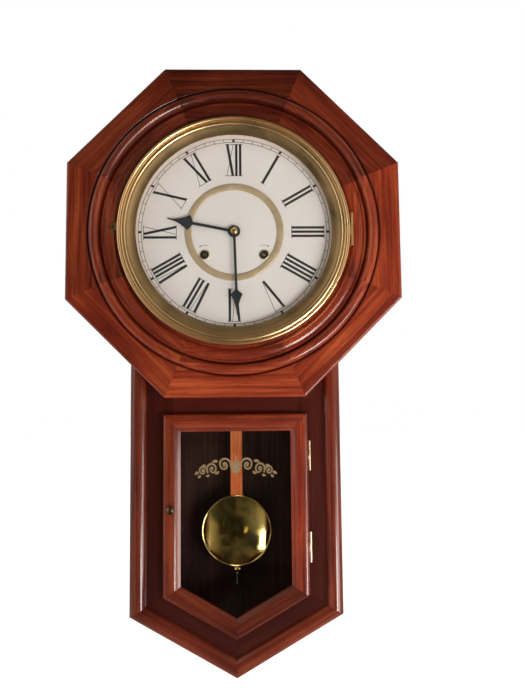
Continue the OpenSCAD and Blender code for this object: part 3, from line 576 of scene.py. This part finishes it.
def octagon_section():
    """The turned part of the octagon's section as (radius, d), from the dial hole outwards."""
    bead_d = 116.6
    return (
        [(118, OCT_BACK), (118, 106), (142.5, 106), (142.5, SEAT_D), (153.3, SEAT_D)]
        + arc((161, 109), (7.5, 5.5), 180, 60, 10)
        + [(166, 113), (168.2, 113.05), (168.7, 115), (171.2, 115.05)]
        + [(172.2, 112.4), (173.4, 112.2)]
        + arc((180.5, bead_d), (6.5, OCT_FRONT - bead_d), 196, 0, 26)
        + [(187.5, 116.9), (188.3, 119), (189.0, 119.7), (RING_R, OCT_FLAT)]
    )


def octagon_loop(facing, column, seam):
    """The closed section of the segment that faces that way, at one column. column(r) is the
    column's direction at radius r, and seam is 1 at the bottom of a mitre's seam, or 0."""
    edge = 3
    back_edge = 0.6
    seam_from = 112
    sunk = SEAM * seam
    slant = cos(column(OCT_R) - facing)
    loop = []
    for r, d in octagon_section():
        a = column(r)
        loop.append((r * cos(a), r * sin(a), d - (sunk if d > seam_from else 0)))
    outer = (OCT_R - edge) / slant
    for i in range(1, 7):
        r = RING_R + (outer - RING_R) * i / 6
        a = column(r)
        loop.append((r * cos(a), r * sin(a), OCT_FLAT - sunk))
    rim = [
        (flat, d - sunk)
        for flat, d in arc((OCT_R - edge, OCT_FLAT - edge), (edge, edge), 75, 0, 5)
    ]
    rim += [(OCT_R, OCT_BACK + back_edge), (OCT_R - back_edge, OCT_BACK)]
    for flat, d in rim:
        a = column(flat / slant)
        r = flat / cos(a - facing)
        loop.append((r * cos(a), r * sin(a), d))
    return loop


def seam_column(facing, side, offset):
    """A column that runs beside the mitre on that side of the segment, offset from it."""
    def column(r):
        return facing + side * (pi / 8 - offset / r)
    return column


def even_column(facing, share):
    """A straight column at that share of the way from the segment's middle to its mitre."""
    def column(r):
        return facing + share * pi / 8
    return column


def octagon_segment(k):
    facing = k * pi / 4
    columns = [(seam_column(facing, -1, 0), 1), (seam_column(facing, -1, SEAM), 0)]
    columns += [(even_column(facing, step / 16), 0) for step in range(-15, 16)]
    columns += [(seam_column(facing, 1, SEAM), 0), (seam_column(facing, 1, 0), 1)]
    loops = [octagon_loop(facing, column, seam) for column, seam in columns]
    obj = solid("octagon_segment_%d" % (k + 1), loft(loops))
    if k == 0:
        hinge = [(148, -22), (155.2, -22), (155.2, 22), (148, 22)]
        carve(obj, solid("cutter", prism(hinge, SEAT_D, 120)))
    if k == 4:
        catch = [(-150.6, 1.7), (-150.6, 12.3)] + arc((-156, 7), (5.3, 5.3), 90, 270, 24)
        carve(obj, solid("cutter", prism(catch, SEAT_D + 2, 120)))
    grain = k * 45 + 90
    # Painted light and shade on this segment, and painted shade in its grooves
    lit_wood = with_painted_light(MAHOGANY, SEGMENT_PAINTED_LIGHT[k])
    finish = wood("mahogany_octagon_%d" % (k + 1), grain, k + 1, lit_wood, groove_painted_shade)
    dress(obj, finish, "mahogany_frame", "case", "octagon_segments")


# ---------------------------------------------------------------- mouldings of the lower case

def v_point(t):
    """The tip of the case's V, moved inwards by t from its edges."""
    return 0, TRUNK_TIP + t / cos(V_SLOPE)


def v_corner(t):
    """The right corner of the case's V, moved inwards by t."""
    return TRUNK_HALF - t, v_point(t)[1] + (TRUNK_HALF - t) * tan(V_SLOPE)


def flip(point):
    return -point[0], point[1]


def moulded(section, start, end, mitred=(True, True)):
    """A moulding from start(t) to end(t); section is (t, d) with t inwards from the outline.
    A mitred end dips a little at the joint, so that the seam shows as a fine line."""
    length = hypot(end(0)[0] - start(0)[0], end(0)[1] - start(0)[1])
    dip = SEAM / length
    stops = [0, dip] + [i / 12 for i in range(1, 12)] + [1 - dip, 1]
    base = min(d for t, d in section)
    loops = []
    for stop in stops:
        sunk = SEAM * ((stop == 0 and mitred[0]) + (stop == 1 and mitred[1]))
        loop = []
        for t, d in section:
            a = start(t)
            b = end(t)
            x = a[0] + (b[0] - a[0]) * stop
            y = a[1] + (b[1] - a[1]) * stop
            loop.append((x, y, max(d - sunk, base)))
        loops.append(loop)
    return loft(loops)


def mirrored(shape):
    """The shape on the other side of the clock's middle."""
    return [(-x, y, d) for x, y, d in shape[0]], shape[1]


def octagon_cutter():
    """The octagon's outline in front of the band, to trim the stiles with."""
    clearance = 0.02
    r = (OCT_R + clearance) / cos(pi / 8)
    outline = [(r * cos(pi / 8 + k * pi / 4), r * sin(pi / 8 + k * pi / 4)) for k in range(8)]
    return solid("cutter", prism(outline, BAND_FRONT, OCT_FRONT + 5))


def face_frame():
    """The lower case's stiles and slanted rails, with their half-round border."""
    width = 55
    round_half = (BORDER / 2, 8)
    section = (
        [(width, BAND_BACK), (0.5, BAND_BACK), (0, BAND_BACK + 0.5), (0, BAND_FRONT)]
        + arc((BORDER / 2, BAND_FRONT), round_half, 180, 0, 22)
        + [(BORDER + 0.3, BAND_FRONT), (width, BAND_FRONT)]
    )

    def top(t):
        return TRUNK_HALF - t, TRUNK_TOP

    stile = moulded(section, top, v_corner, (False, True))
    rail = moulded(section, v_corner, v_point)
    # The last number is painted light and shade on each member: the right stile lit more than the
    # left
    for name, shape, grain, seed, tone in (
        ("frame_right_stile", stile, 90, 12, 0.8),
        ("frame_left_stile", mirrored(stile), 90, 11, 0.6),
        ("frame_bottom_right_rail", rail, RAIL_GRAIN, 14, 0.68),
        ("frame_bottom_left_rail", mirrored(rail), -RAIL_GRAIN, 13, 0.68),
    ):
        obj = solid("shown_" + name, shape)
        if name.endswith("stile"):
            carve(obj, octagon_cutter())
        if name == "frame_left_stile":
            # The door's tongue turns into this slot
            slot = [(-89.5, -372), (-79, -372), (-79, -354), (-89.5, -354)]
            carve(obj, solid("cutter", prism(slot, BAND_BACK - 1, BAND_FRONT + 1)))
        # Painted light on each member, and painted shade on the band beside the door
        finish = wood("mahogany_" + name, grain, seed, with_painted_light(MAHOGANY, tone), band_painted_shade)
        dress(obj, finish, "mahogany_frame", "case", name)


def door_corner(k, t):
    """The door's corner k, clockwise from the top left, moved inwards by t."""
    top_y = DOOR_TOP - t
    corners = [
        (t - DOOR_HALF, top_y), (DOOR_HALF - t, top_y), v_corner(DOOR_INSET + t),
        v_point(DOOR_INSET + t), flip(v_corner(DOOR_INSET + t)),
    ]
    return corners[k % 5]


def door_members():
    """The door's five mitred members, clockwise from the top rail."""
    base = DOOR_BACK
    section = (
        [(0.4, base), (0, base + 0.4), (0, 101.4)]
        + arc((4, 101.4), (4, 4.1), 172, 96, 9)
        + [(4.6, 105.62), (9, 106), (14, 105.5), (14.7, 105.35)]
        + arc((14.7, 102.6), (3.1, 2.6), 86, 40, 5)
        + [(19.2, 102.9), (21.3, 101.7), (22, 101.3), (22, DOOR_GLASS_D[1])]
        + [(17, DOOR_GLASS_D[1]), (17, base)]
    )
    # The last number is painted light and shade on each member: lightest at the right, darkest on
    # the lower rails
    members = (
        ("door_top_rail", 0, 0.82),
        ("door_right_stile", 90, 1.22),
        ("door_bottom_right_rail", RAIL_GRAIN, 0.46),
        ("door_bottom_left_rail", -RAIL_GRAIN, 0.54),
        ("door_left_stile", 90, 0.62),
    )
    for k, (name, grain, tone) in enumerate(members):
        shape = moulded(
            section, lambda t, k=k: door_corner(k, t), lambda t, k=k: door_corner(k + 1, t)
        )
        obj = solid("shown_" + name, shape)
        if name == "door_left_stile":
            bore_r = 2.8
            hole = [(0, base - 1), (bore_r, base - 1), (bore_r, 107), (0, 107)]
            carve(obj, solid("cutter", turned(hole, KNOB_AT, 32)))
        finish = wood("mahogany_" + name, grain, 21 + k, with_painted_light(MAHOGANY, tone))
        dress(obj, finish, "mahogany_door", "door", name)


# ---------------------------------------------------------------- dial

# The print's height above the dial; the radii of the numerals and of the minute track
PRINT = 0.06
NUMERAL_IN = 75
NUMERAL_OUT = 117.5
TRACK_IN = 120.3
TRACK_OUT = 124.5
# Widths and steps in the numerals
BAR = 3.2
WIDE_BAR = 3.5
SLANT_BAR = 3.4
HAIR = 0.65
BAR_STEP = 5.6
TIGHT_STEP = 5.1
SERIF = 1.7
LETTER_GAP = 1.1
NUMERALS = ["I", "II", "III", "IIII", "V", "VI", "VII", "VIII", "IX", "X", "XI", "XII"]
LETTER_WIDTH = {
    "V": 16, "VI": 11.4, "VII": 9.6, "VIII": 8.4, "IX": 13, "X": 16.5, "XI": 13.6, "XII": 11,
}


def quad(angle, points):
    """A flat printed shape from (u, r) points at that direction of the dial."""
    return prism([on_dial(angle, u, r) for u, r in points], DIAL_D[1], DIAL_D[1] + PRINT)


def stroke(angle, top, bottom, width):
    """A straight stroke of that width across, from top at the outer end to bottom."""
    half = width / 2
    return quad(angle, [
        (top - half, NUMERAL_OUT), (top + half, NUMERAL_OUT),
        (bottom + half, NUMERAL_IN), (bottom - half, NUMERAL_IN),
    ])


def serif(angle, u0, u1, r):
    """A thin line across the end of a stroke, from u0 to u1 at radius r."""
    half = 0.35
    return quad(angle, [(u0, r - half), (u1, r - half), (u1, r + half), (u0, r + half)])


def numeral(text, angle):
    """The strokes of one numeral: its V or X, and its bars before or after it."""
    width = LETTER_WIDTH.get(text, 0)
    bars = text.count("I")
    step = TIGHT_STEP if text in ("VIII", "XII") else BAR_STEP
    bar_room = (bars - 1) * step + BAR if bars else 0
    gap = LETTER_GAP if width and bars else 0
    left = -(width + gap + bar_room) / 2
    letter_first = not text.startswith("I")
    letter_u = left if letter_first else left + bar_room + gap
    bar_u = (left + width + gap if letter_first and width else left) + BAR / 2
    shapes = []
    for i in range(bars):
        thick = WIDE_BAR if text == "I" else BAR
        shapes.append(stroke(angle, bar_u + i * step, bar_u + i * step, thick))
    if bars:
        u0 = bar_u - BAR / 2 - SERIF
        u1 = bar_u + (bars - 1) * step + BAR / 2 + SERIF
        shapes.append(serif(angle, u0, u1, NUMERAL_IN))
        shapes.append(serif(angle, u0, u1, NUMERAL_OUT))
    start = letter_u
    end = letter_u + width
    if "V" in text:
        vertex = start + width * 0.56
        shapes.append(stroke(angle, start + 1.9, vertex - 0.5, SLANT_BAR))
        shapes.append(stroke(angle, end - 1.0, vertex + 0.6, HAIR))
        shapes.append(serif(angle, start - 0.6, end + 0.3, NUMERAL_OUT))
    if "X" in text:
        shapes.append(stroke(angle, start + 1.9, end - 1.9, SLANT_BAR))
        shapes.append(stroke(angle, end - 1.2, start + 1.2, HAIR))
        shapes.append(serif(angle, start - 0.6, end + 0.3, NUMERAL_OUT))
        shapes.append(serif(angle, start - 0.6, end + 0.3, NUMERAL_IN))
    return shapes


def minute_track(low, high):
    """Two circles with a line between them at each minute, wide at every fifth."""
    shapes = []
    for r in (TRACK_IN, TRACK_OUT):
        shapes.append(turned([(r - 0.3, low), (r + 0.3, low), (r + 0.3, high), (r - 0.3, high)]))
    for minute in range(60):
        half, start = (0.32, TRACK_IN) if minute % 5 else (1.5, TRACK_IN - 0.1)
        line = [(-half, start), (half, start), (half, TRACK_OUT), (-half, TRACK_OUT)]
        shapes.append(quad(minute * 6, line))
    return shapes


def winding_arrows(low, high):
    """A short curved arrow above each winding hole."""
    first, last = 68, 112
    shapes = []
    for side in (-1, 1):
        x0 = side * WINDING_AT[0]
        y0 = WINDING_AT[1]
        outer = arc((x0, y0), (12.75, 12.75), first, last, 20)
        inner = arc((x0, y0), (12.25, 12.25), last, first, 20)
        shapes.append(prism(outer + inner, low, high))
        head = first if side > 0 else last
        corners = ((11.5, head), (13.5, head), (12.4, head - side * 14))
        head_outline = [(x0 + r * cos(radians(a)), y0 + r * sin(radians(a))) for r, a in corners]
        shapes.append(prism(head_outline, low, high))
    return shapes


def dial_print():
    low = DIAL_D[1]
    high = low + PRINT
    numerals = []
    for i, text in enumerate(NUMERALS):
        numerals += numeral(text, 30 * (i + 1))
    for name, shapes in (
        ("dial_numerals", numerals),
        ("dial_minute_track", minute_track(low, high)),
        ("winding_arrows", winding_arrows(low, high)),
    ):
        dress(solid(name, join(shapes)), INK, "dial_enamel", "case")


def spade_outline(length, neck, belly, half_bar, half_belly, hub):
    """The outline of a spade hand that points at twelve, clockwise from the hub. The bar widens
    from the radius neck to the radius belly, and narrows from there to a round tip."""
    tip = 0.8
    end = length - tip
    side = []
    for i in range(21):
        r = neck + (belly - neck) * i / 20
        share = sin(pi / 2 * (r - neck) / (belly - neck)) ** 1.6
        side.append((half_bar + (half_belly - half_bar) * share, r))
    for i in range(1, 31):
        r = belly + (end - belly) * i / 30
        share = (1 - (r - belly) / (end - belly)) ** 2.1
        side.append((tip + (half_belly - tip) * share, r))
    start = sqrt(hub ** 2 - half_bar ** 2)
    side = [(half_bar, start + 1)] + side
    round_tip = arc((0, end), (tip, tip), 0, 180, 10)[1:-1]
    back = [flip(point) for point in reversed(side)]
    foot = atan2(start, half_bar)
    hub_round = arc((0, 0), (hub, hub), 180 - foot * 180 / pi, 360 + foot * 180 / pi, 60)
    return side + round_tip + back + hub_round


def hands():
    for node, body, angle, sizes in (
        ("hour_hand", "hour_train", 281.3, (88, 54, 60.5, 1.9, 9.8, 8)),
        ("minute_hand", "minute_train", 178.2, (110, 77, 84, 1.7, 7.6, 5.5)),
    ):
        d0, d1 = span(node)[2]
        outline = [on_dial(angle, u, r) for u, r in spade_outline(*sizes)]
        obj = solid("shown_" + node, prism(outline, d0, d1))
        soften(obj, 0.3, 3)
        dress(obj, BLACK, "blackened_steel", body, node)


# ---------------------------------------------------------------- bezel, bob and small brass

def bezel():
    """The spun ring: its wall, outer bead, groove, low round and the slope to the glass."""
    wall = BEZEL_FRONT - 3
    lip = DIAL_GLASS_D[1] + 0.02
    section = (
        [(BEZEL_R - 12, BEZEL_BACK), (BEZEL_R, BEZEL_BACK), (BEZEL_R, wall)]
        + arc((BEZEL_R - 2.3, wall), (2.3, 2.6), 12, 180, 14)
        + [(145.0, wall - 0.6)]
        + arc((142.0, wall), (3, 1.6), 0, 180, 14)
        + [(138.9, wall + 0.2), (138.2, wall + 0.1), (136.5, wall - 0.45), (133.5, wall - 1.35)]
        + [(130.5, wall - 2.0), (128.4, wall - 2.25), (127.2, wall - 2.2), (126.4, wall - 2.4)]
        + [(126, lip), (131.6, lip), (131.6, DIAL_GLASS_D[0] - 2.1)]
    )
    obj = solid("shown_bezel", turned(section, steps=384), 40)
    dress(obj, BEZEL_BRASS, "bezel_brass", "bezel", "bezel_ring")


def bob():
    """A shallow dome inside a rounded rim, with a flat back."""
    y = (BOB_Y[0] + BOB_Y[1]) / 2
    r = BOB_X[1]
    back, front = BOB_D
    reach = r - 3.5
    rise = 5.9
    sphere = (reach ** 2 + rise ** 2) / (2 * rise)
    section = [
        (0, back), (r - 5, back), (r - 2, back + 0.9), (r - 0.6, back + 2.2), (r, back + 4.5),
        (r, back + 10.2), (r - 0.3, back + 11.7), (r - 0.9, back + 12.5), (r - 1.8, back + 12.8),
        (r - 2.6, back + 12.4), (r - 3.1, back + 12.0),
    ]
    for i in range(30):
        radius = reach * (1 - i / 29)
        section.append((radius, front - sphere + sqrt(sphere ** 2 - radius ** 2)))
    obj = solid("shown_bob", turned(section, (0, y), 192))
    dress(obj, BOB_BRASS, "polished_brass", "pendulum", "pendulum_bob")


def rating_nut():
    """A fluted nut that narrows downwards."""
    (y0, y1), (d0, d1) = span("rating_nut")[1:]
    axis = (d0 + d1) / 2
    section = [
        (1.05, y1, 0), (3.9, y1, 0), (4.4, y1 - 0.4, 1), (4.6, y1 - 0.8, 1), (4.6, y1 - 3.4, 1),
        (4.3, y1 - 3.9, 1), (3.6, y1 - 4.3, 0), (2.9, y1 - 5.2, 0), (2.5, y1 - 6.6, 0),
        (2.6, y1 - 7.4, 0), (2.3, y1 - 8.6, 0), (1.9, y0 + 0.2, 0), (1.7, y0, 0), (1.05, y0, 0),
    ]
    nut = solid("shown_rating_nut", upright(section, 0, axis, steps=192, flutes=32, depth=0.3))
    dress(nut, BRIGHT_BRASS, "polished_brass", "rating_nut", "rating_nut")


def rating_screw():
    """A rod with a helical thread and a chamfered lower end."""
    (y0, y1), (d0, d1) = span("rating_screw")[1:]
    axis = (d0 + d1) / 2
    pitch = 0.8
    rings = 232
    sides = 16
    loops = []
    for i in range(rings + 1):
        y = y0 + (y1 - y0) * i / rings
        loop = []
        for j in range(sides):
            a = 2 * pi * j / sides
            r = 0.88 + 0.12 * cos(a - 2 * pi * y / pitch)
            r = min(r, 0.6 + (y - y0) * 1.2)
            loop.append((r * sin(a), y, axis + r * cos(a)))
        loops.append(loop)
    screw = solid("shown_rating_screw", loft(loops), 60)
    dress(screw, STEEL, "steel", "pendulum", "rating_screw")


def knob():
    """A turned knob on a shank, with the tongue that holds the door behind the frame."""
    x0, x1 = span("door_knob")[0]
    back, front = span("door_knob")[2]
    centre = ((x0 + x1) / 2, KNOB_AT[1])
    r = (x1 - x0) / 2
    tongue = [(-2, -16), (2, -16), (2, 0), (-2, 0)]
    section = [
        (0, back), (2.5, back), (2.5, DOOR_FRONT + 0.2), (4.6, DOOR_FRONT + 0.2),
        (4.6, DOOR_FRONT + 0.8), (4.1, DOOR_FRONT + 1.2), (3.2, DOOR_FRONT + 1.6),
        (2.8, DOOR_FRONT + 2.3), (3.1, DOOR_FRONT + 3.0),
    ]
    section += arc((0, front - 3.4), (r, 3.4), -38, 52, 12)
    section += [(3.2, front - 0.75), (3.0, front - 0.9), (2.7, front - 0.5)]
    section += [(1.6, front - 0.1), (0, front)]
    parts = [turned(section, centre, 64)]
    parts.append(prism([(centre[0] + x, centre[1] + y) for x, y in tongue], back, back + 1.6))
    obj = solid("shown_door_knob", join(parts))
    dress(obj, DARK_BRONZE, "aged_brass", "door_latch", "door_knob")


def nut_on_hands():
    """A domed nut with a flat edge."""
    r = span("hand_nut")[0][1]
    d0, d1 = span("hand_nut")[2]
    bore = 2.22
    section = [(bore, d0), (r, d0), (r, d0 + 0.6), (r - 0.2, d0 + 0.8), (r - 0.45, d0 + 0.85)]
    section += arc((0, d0 + 0.8), (r - 0.5, d1 - d0 - 0.8), 0, 90, 14)
    section += [(0, d0 + 0.75), (bore, d0 + 0.75)]
    obj = solid("shown_hand_nut", turned(section, steps=64))
    dress(obj, BRIGHT_BRASS, "polished_brass", "minute_train", "hand_nut")


# ---------------------------------------------------------------- gilt scroll on the door's glass

# The arch that the scroll follows: the height of its centre and the radius of its lower edge.
# Then how much taller than drawn it is, the radius at which drawn lengths along it are true, and
# half a line's thickness for a drawn width of 1
SCROLL_Y = -412
SCROLL_R = 97
SCROLL_TALL = 1.22
SCROLL_BEND = 107.5
LINE_HALF = 0.72


def ribbon(points, widths):
    """The two edges of a line drawn through points with a width at each."""
    left = []
    right = []
    for i, (x, y) in enumerate(points):
        x0, y0 = points[max(i - 1, 0)]
        x1, y1 = points[min(i + 1, len(points) - 1)]
        length = hypot(x1 - x0, y1 - y0)
        nx = -(y1 - y0) / length
        ny = (x1 - x0) / length
        half = widths[i] * LINE_HALF
        left.append((x + nx * half, y + ny * half))
        right.append((x - nx * half, y - ny * half))
    return left, right


def scroll_piece(points, widths, side, low, high):
    """A ribbon bent on to the arch, as a thin solid, on that side of the middle."""
    left, right = ribbon(points, widths)
    loops = []
    for a, b in zip(left, right):
        ends = []
        for s, h in (a, b):
            radius = SCROLL_R + h * SCROLL_TALL
            turn = side * s / SCROLL_BEND
            ends.append((radius * sin(turn), SCROLL_Y + radius * cos(turn)))
        (ax, ay), (bx, by) = ends
        loops.append([(ax, ay, low), (bx, by, low), (bx, by, high), (ax, ay, high)])
    return loft(loops)


def spiral(centre, start, end, r0, r1, thick, thin, count):
    """The points and widths of a spiral line from radius r0 to r1."""
    points = []
    widths = []
    for i in range(count + 1):
        f = i / count
        a = radians(start + (end - start) * f)
        r = r0 + (r1 - r0) * f ** 0.8
        points.append((centre[0] + r * cos(a), centre[1] + r * sin(a)))
        widths.append(thick + (thin - thick) * f)
    return points, widths


def leaf(root, angle, length, width, bend=0.0):
    """The points and widths of a pointed leaf that bends by bend degrees."""
    count = 14
    points = []
    widths = []
    for i in range(count + 1):
        f = i / count
        a = radians(angle + bend * f)
        points.append((root[0] + length * f * cos(a), root[1] + length * f * sin(a)))
        widths.append(0.25 + width * sin(pi * f ** 0.8) ** 1.2)
    return points, widths


def gilt_scroll():
    """Spirals and leaves on both sides of a middle leaf. Each line has its own thickness, so
    that no two of them share a face where they cross."""
    low = DOOR_GLASS_D[1]
    high = low + 0.08
    step = 0.0015
    parts = []
    for side in (-1, 1):
        lines = [
            spiral((14, 12.5), 200, -330, 8.2, 1.6, 1.5, 1.1, 60),
            spiral((29.5, 11), -20, 500, 7.2, 1.5, 1.4, 1.0, 60),
            spiral((41.5, 12.5), 190, -290, 5.2, 1.3, 1.3, 0.9, 50),
            spiral((14.2, 12.3), 0, 360, 0.7, 0.8, 1.5, 1.5, 14),
            spiral((29.4, 11.2), 0, 360, 0.6, 0.7, 1.3, 1.3, 14),
            spiral((41.5, 12.5), 0, 360, 0.5, 0.6, 1.1, 1.1, 14),
            leaf((22, 7), -38, 6.5, 1.8, 30),
            leaf((21, 17), 35, 7, 1.9, -30),
            leaf((35.5, 16), 38, 6, 1.7, -34),
            leaf((35, 6.5), -30, 5.5, 1.6, 32),
            leaf((46.2, 12.5), 20, 6.0, 2.0, -20),
            leaf((45.8, 9.5), -35, 5.0, 1.6, 24),
            leaf((5.6, 8.6), 200, 5.4, 1.6, -30),
            leaf((0.5, 3.2), 34, 9.5, 2.4, 24),
            leaf((0.4, 4.2), 62, 13.5, 2.8, 14),
        ]
        for i, (points, widths) in enumerate(lines):
            top = high - step * (i + 20 * (side > 0))
            parts.append(scroll_piece(points, widths, side, low, top))
    stem = leaf((0, 2.5), 90, 19, 2.6)
    parts.append(scroll_piece(stem[0], stem[1], 1, low, high + 0.002))
    dress(solid("gilt_scroll", join(parts)), SCROLL_GILT, "door_glass", "door")


# ---------------------------------------------------------------- the rest of the CAD nodes

# The bevel of the CAD nodes whose edges are finer than USUAL_BEVEL, in millimetres
USUAL_BEVEL = 0.5
FINE_BEVEL = {
    "dial_plate": 0.15, "dial_glass": 0.2, "door_glass": 0.2, "suspension_spring": 0.05,
    "glass_retaining_ring": 0.2, "dial_centre_ring": 0.05, "winding_hole_grommets": 0.08,
    "time_mainspring": 0.05, "strike_mainspring": 0.05, "gong": 0.0, "wood_screws": 0.1,
    "centre_arbor": 0.1, "anchor_and_crutch": 0.15, "minute_wheel": 0.08, "hour_wheel": 0.08,
    "centre_wheel": 0.08, "third_wheel": 0.06, "escape_wheel": 0.06, "time_great_wheel": 0.1,
    "strike_great_wheel": 0.1, "time_winding_arbor": 0.12, "strike_winding_arbor": 0.12,
    "bezel_hinge_case_leaf": 0.12, "bezel_hinge_leaf": 0.12, "door_hinge_leaves": 0.15,
    "door_hinge_case_leaves": 0.15, "bezel_catch": 0.15, "door_glass_beads": 0.4,
    "strike_hammer": 0.3, "suspension_cock": 0.2, "movement_pillars": 0.2,
}


def material_slots():
    """The record's material slot of each CAD node."""
    slots = {}
    for part in frame["record"]["subparts"]:
        slots[part["node"]] = part["material_slot"]
    return slots


def dress_cad_nodes():
    """Gives every CAD node its finish, and the ones that show smooth faces and soft edges."""
    slots = material_slots()
    for seed, (name, obj) in enumerate(sorted(frame["nodes"].items())):
        slot = slots[name]
        if slot in WOODS:
            # The top rail, recessed between the octagon and the door, gets the same painted shade
            painted_shade = band_painted_shade if name == "frame_top_rail" else None
            finish = wood("wood_" + name, GRAIN.get(name, 0), 40 + seed, WOODS[slot], painted_shade)
        else:
            finish = FINISHES[slot]
        obj.data.materials.clear()
        obj.data.materials.append(finish)
        width = FINE_BEVEL.get(name, USUAL_BEVEL)
        weld = obj.modifiers.new("weld", "WELD")
        weld.merge_threshold = 1e-6
        for polygon in obj.data.polygons:
            polygon.use_smooth = True
        if "custom_normal" in obj.data.attributes:
            obj.data.attributes.remove(obj.data.attributes["custom_normal"])
        if width:
            soften(obj, width)
        if slot in ("door_glass", "dial_glass"):
            obj.visible_shadow = False
            obj.visible_diffuse = False


dress_cad_nodes()
for k in range(8):
    octagon_segment(k)
face_frame()
door_members()
dial_print()
hands()
bezel()
bob()
rating_nut()
rating_screw()
knob()
nut_on_hands()
gilt_scroll()


# ---------------------------------------------------------------- floor, light and camera

# The floor's distance below the case's tip, in millimetres
FLOOR_DROP = 60
# The walls at the left and right, the room above and below, what stands in front of the clock,
# and the light and dark patches over all of it
ROOM_SIDES = (0.75, 0.71, 0.66)
ROOM_ENDS = (0.68, 0.48, 0.34)
ROOM_FRONT = [
    (0.36, (0.012, 0.016, 0.018)), (0.47, (0.09, 0.11, 0.07)), (0.53, (0.34, 0.27, 0.17)),
    (0.60, (0.10, 0.04, 0.05)), (0.72, (0.02, 0.02, 0.03)),
]
ROOM_PATCHES = [(0.45, (0.16, 0.18, 0.17)), (0.55, (1.0, 0.96, 0.86))]


def floor():
    """A pale floor a little below the clock. It isn't seen in gloss or through glass, where it
    would veil the wood and the case's inside."""
    z = DIAL_Z + (TRUNK_TIP - FLOOR_DROP) * MM
    front, back, half = -0.9, 12, 8
    mesh = bpy.data.meshes.new("floor")
    corners = [(-half, front, z), (half, front, z), (half, back, z), (-half, back, z)]
    mesh.from_pydata(corners, [], [(0, 1, 2, 3)])
    obj = add("floor", mesh)
    paint = coated("floor_paint", (0.86, 0.86, 0.86), (0.82, 0.82, 0.82), 0.9, 2)
    glow = paint.node_tree.nodes["Principled BSDF"]
    glow.inputs["Emission Color"].default_value = (1, 1, 1, 1)
    glow.inputs["Emission Strength"].default_value = 0.95
    obj.data.materials.append(paint)
    obj.visible_glossy = False
    obj.visible_transmission = False


def area_light(name, at, aim, size, power, colour):
    lamp = bpy.data.lights.new(name, "AREA")
    lamp.shape = "RECTANGLE"
    lamp.size, lamp.size_y = size
    lamp.energy = power
    lamp.color = colour
    obj = add(name, lamp)
    obj.location = at
    obj.rotation_euler = (Vector(aim) - Vector(at)).to_track_quat("-Z", "Y").to_euler()
    return obj


def lights():
    """Two lamps low at the right, a wide one at the left, and one from above for the dial."""
    middle = place(0, -120, 100)
    area_light("key", (1.05, -0.95, -0.90), middle, (0.5, 0.9), 13, (1.0, 0.97, 0.95))
    area_light("window", (0.72, -1.25, -0.98), middle, (0.30, 0.45), 13, (1.0, 0.96, 0.93))
    area_light("left", (-1.9, -0.9, 0.05), middle, (0.5, 1.4), 4, (0.95, 0.97, 1.0))
    over_dial = place(0, 20, 110)
    dial = area_light("dial", (0.1, -1.5, 1.2), over_dial, (0.5, 0.3), 3, (1.0, 0.96, 0.95))
    dial.visible_glossy = False


def surroundings():
    """White where the camera sees it. For light and reflections it is a dim room in front of
    the clock, with soft coloured shapes, between pale walls at the left and right."""
    world = bpy.data.worlds.new("room")
    bpy.context.scene.world = world
    world.use_nodes = True
    world.node_tree.nodes.clear()
    light = Nodes(world.node_tree)
    direction = light.node("TexCoord", {}, "Generated")
    x, y = light.split(direction)[:2]
    aside = light.math("ABSOLUTE", x)
    things = light.noise(direction, 5.5, rough=0.5, distortion=1.2)
    patches = light.noise(direction, 2.6, detail=2.5, rough=0.5)
    walls = light.mix(light.spread(aside, 0.1, 0.6), (*ROOM_ENDS, 1), (*ROOM_SIDES, 1))
    not_front = light.math(
        "MAXIMUM", light.spread(y, -0.80, -0.52), light.spread(aside, 0.30, 0.52)
    )
    colour = light.mix(not_front, light.ramp(things, ROOM_FRONT), walls)
    colour = light.mix(1.0, colour, light.ramp(patches, ROOM_PATCHES), "MULTIPLY")
    strength = light.spread(aside, 0.1, 0.6, 0.42, 1.3)
    lit = light.node("Background", {"Color": colour, "Strength": strength})
    seen = light.node("Background", {"Color": (1, 1, 1, 1)})
    to_camera = light.node("LightPath", {}, "Is Camera Ray")
    choose = light.node("MixShader", {0: to_camera, 1: lit, 2: seen})
    out = world.node_tree.nodes.new("ShaderNodeOutputWorld")
    light.feed(out, {"Surface": choose})


def camera():
    """The camera stands low in front of the clock, a little to its right, and looks up."""
    yaw = radians(1.61)
    pitch = radians(5.18)
    roll = radians(-0.6)
    ahead = Vector((sin(yaw) * cos(pitch), cos(yaw) * cos(pitch), sin(pitch)))
    right = Vector((cos(yaw), -sin(yaw), 0))
    up = right.cross(ahead)
    right, up = cos(roll) * right + sin(roll) * up, cos(roll) * up - sin(roll) * right
    lens = bpy.data.cameras.new("camera")
    lens.lens = 36
    lens.sensor_width = 36
    lens.clip_start = 0.01
    obj = add("camera", lens)
    obj.matrix_world = Matrix((right, up, -ahead)).transposed().to_4x4()
    obj.location = place(10.2, -235.8, 1002)
    bpy.context.scene.camera = obj


floor()
lights()
surroundings()
camera()
bpy.context.scene.view_settings.view_transform = "Standard"
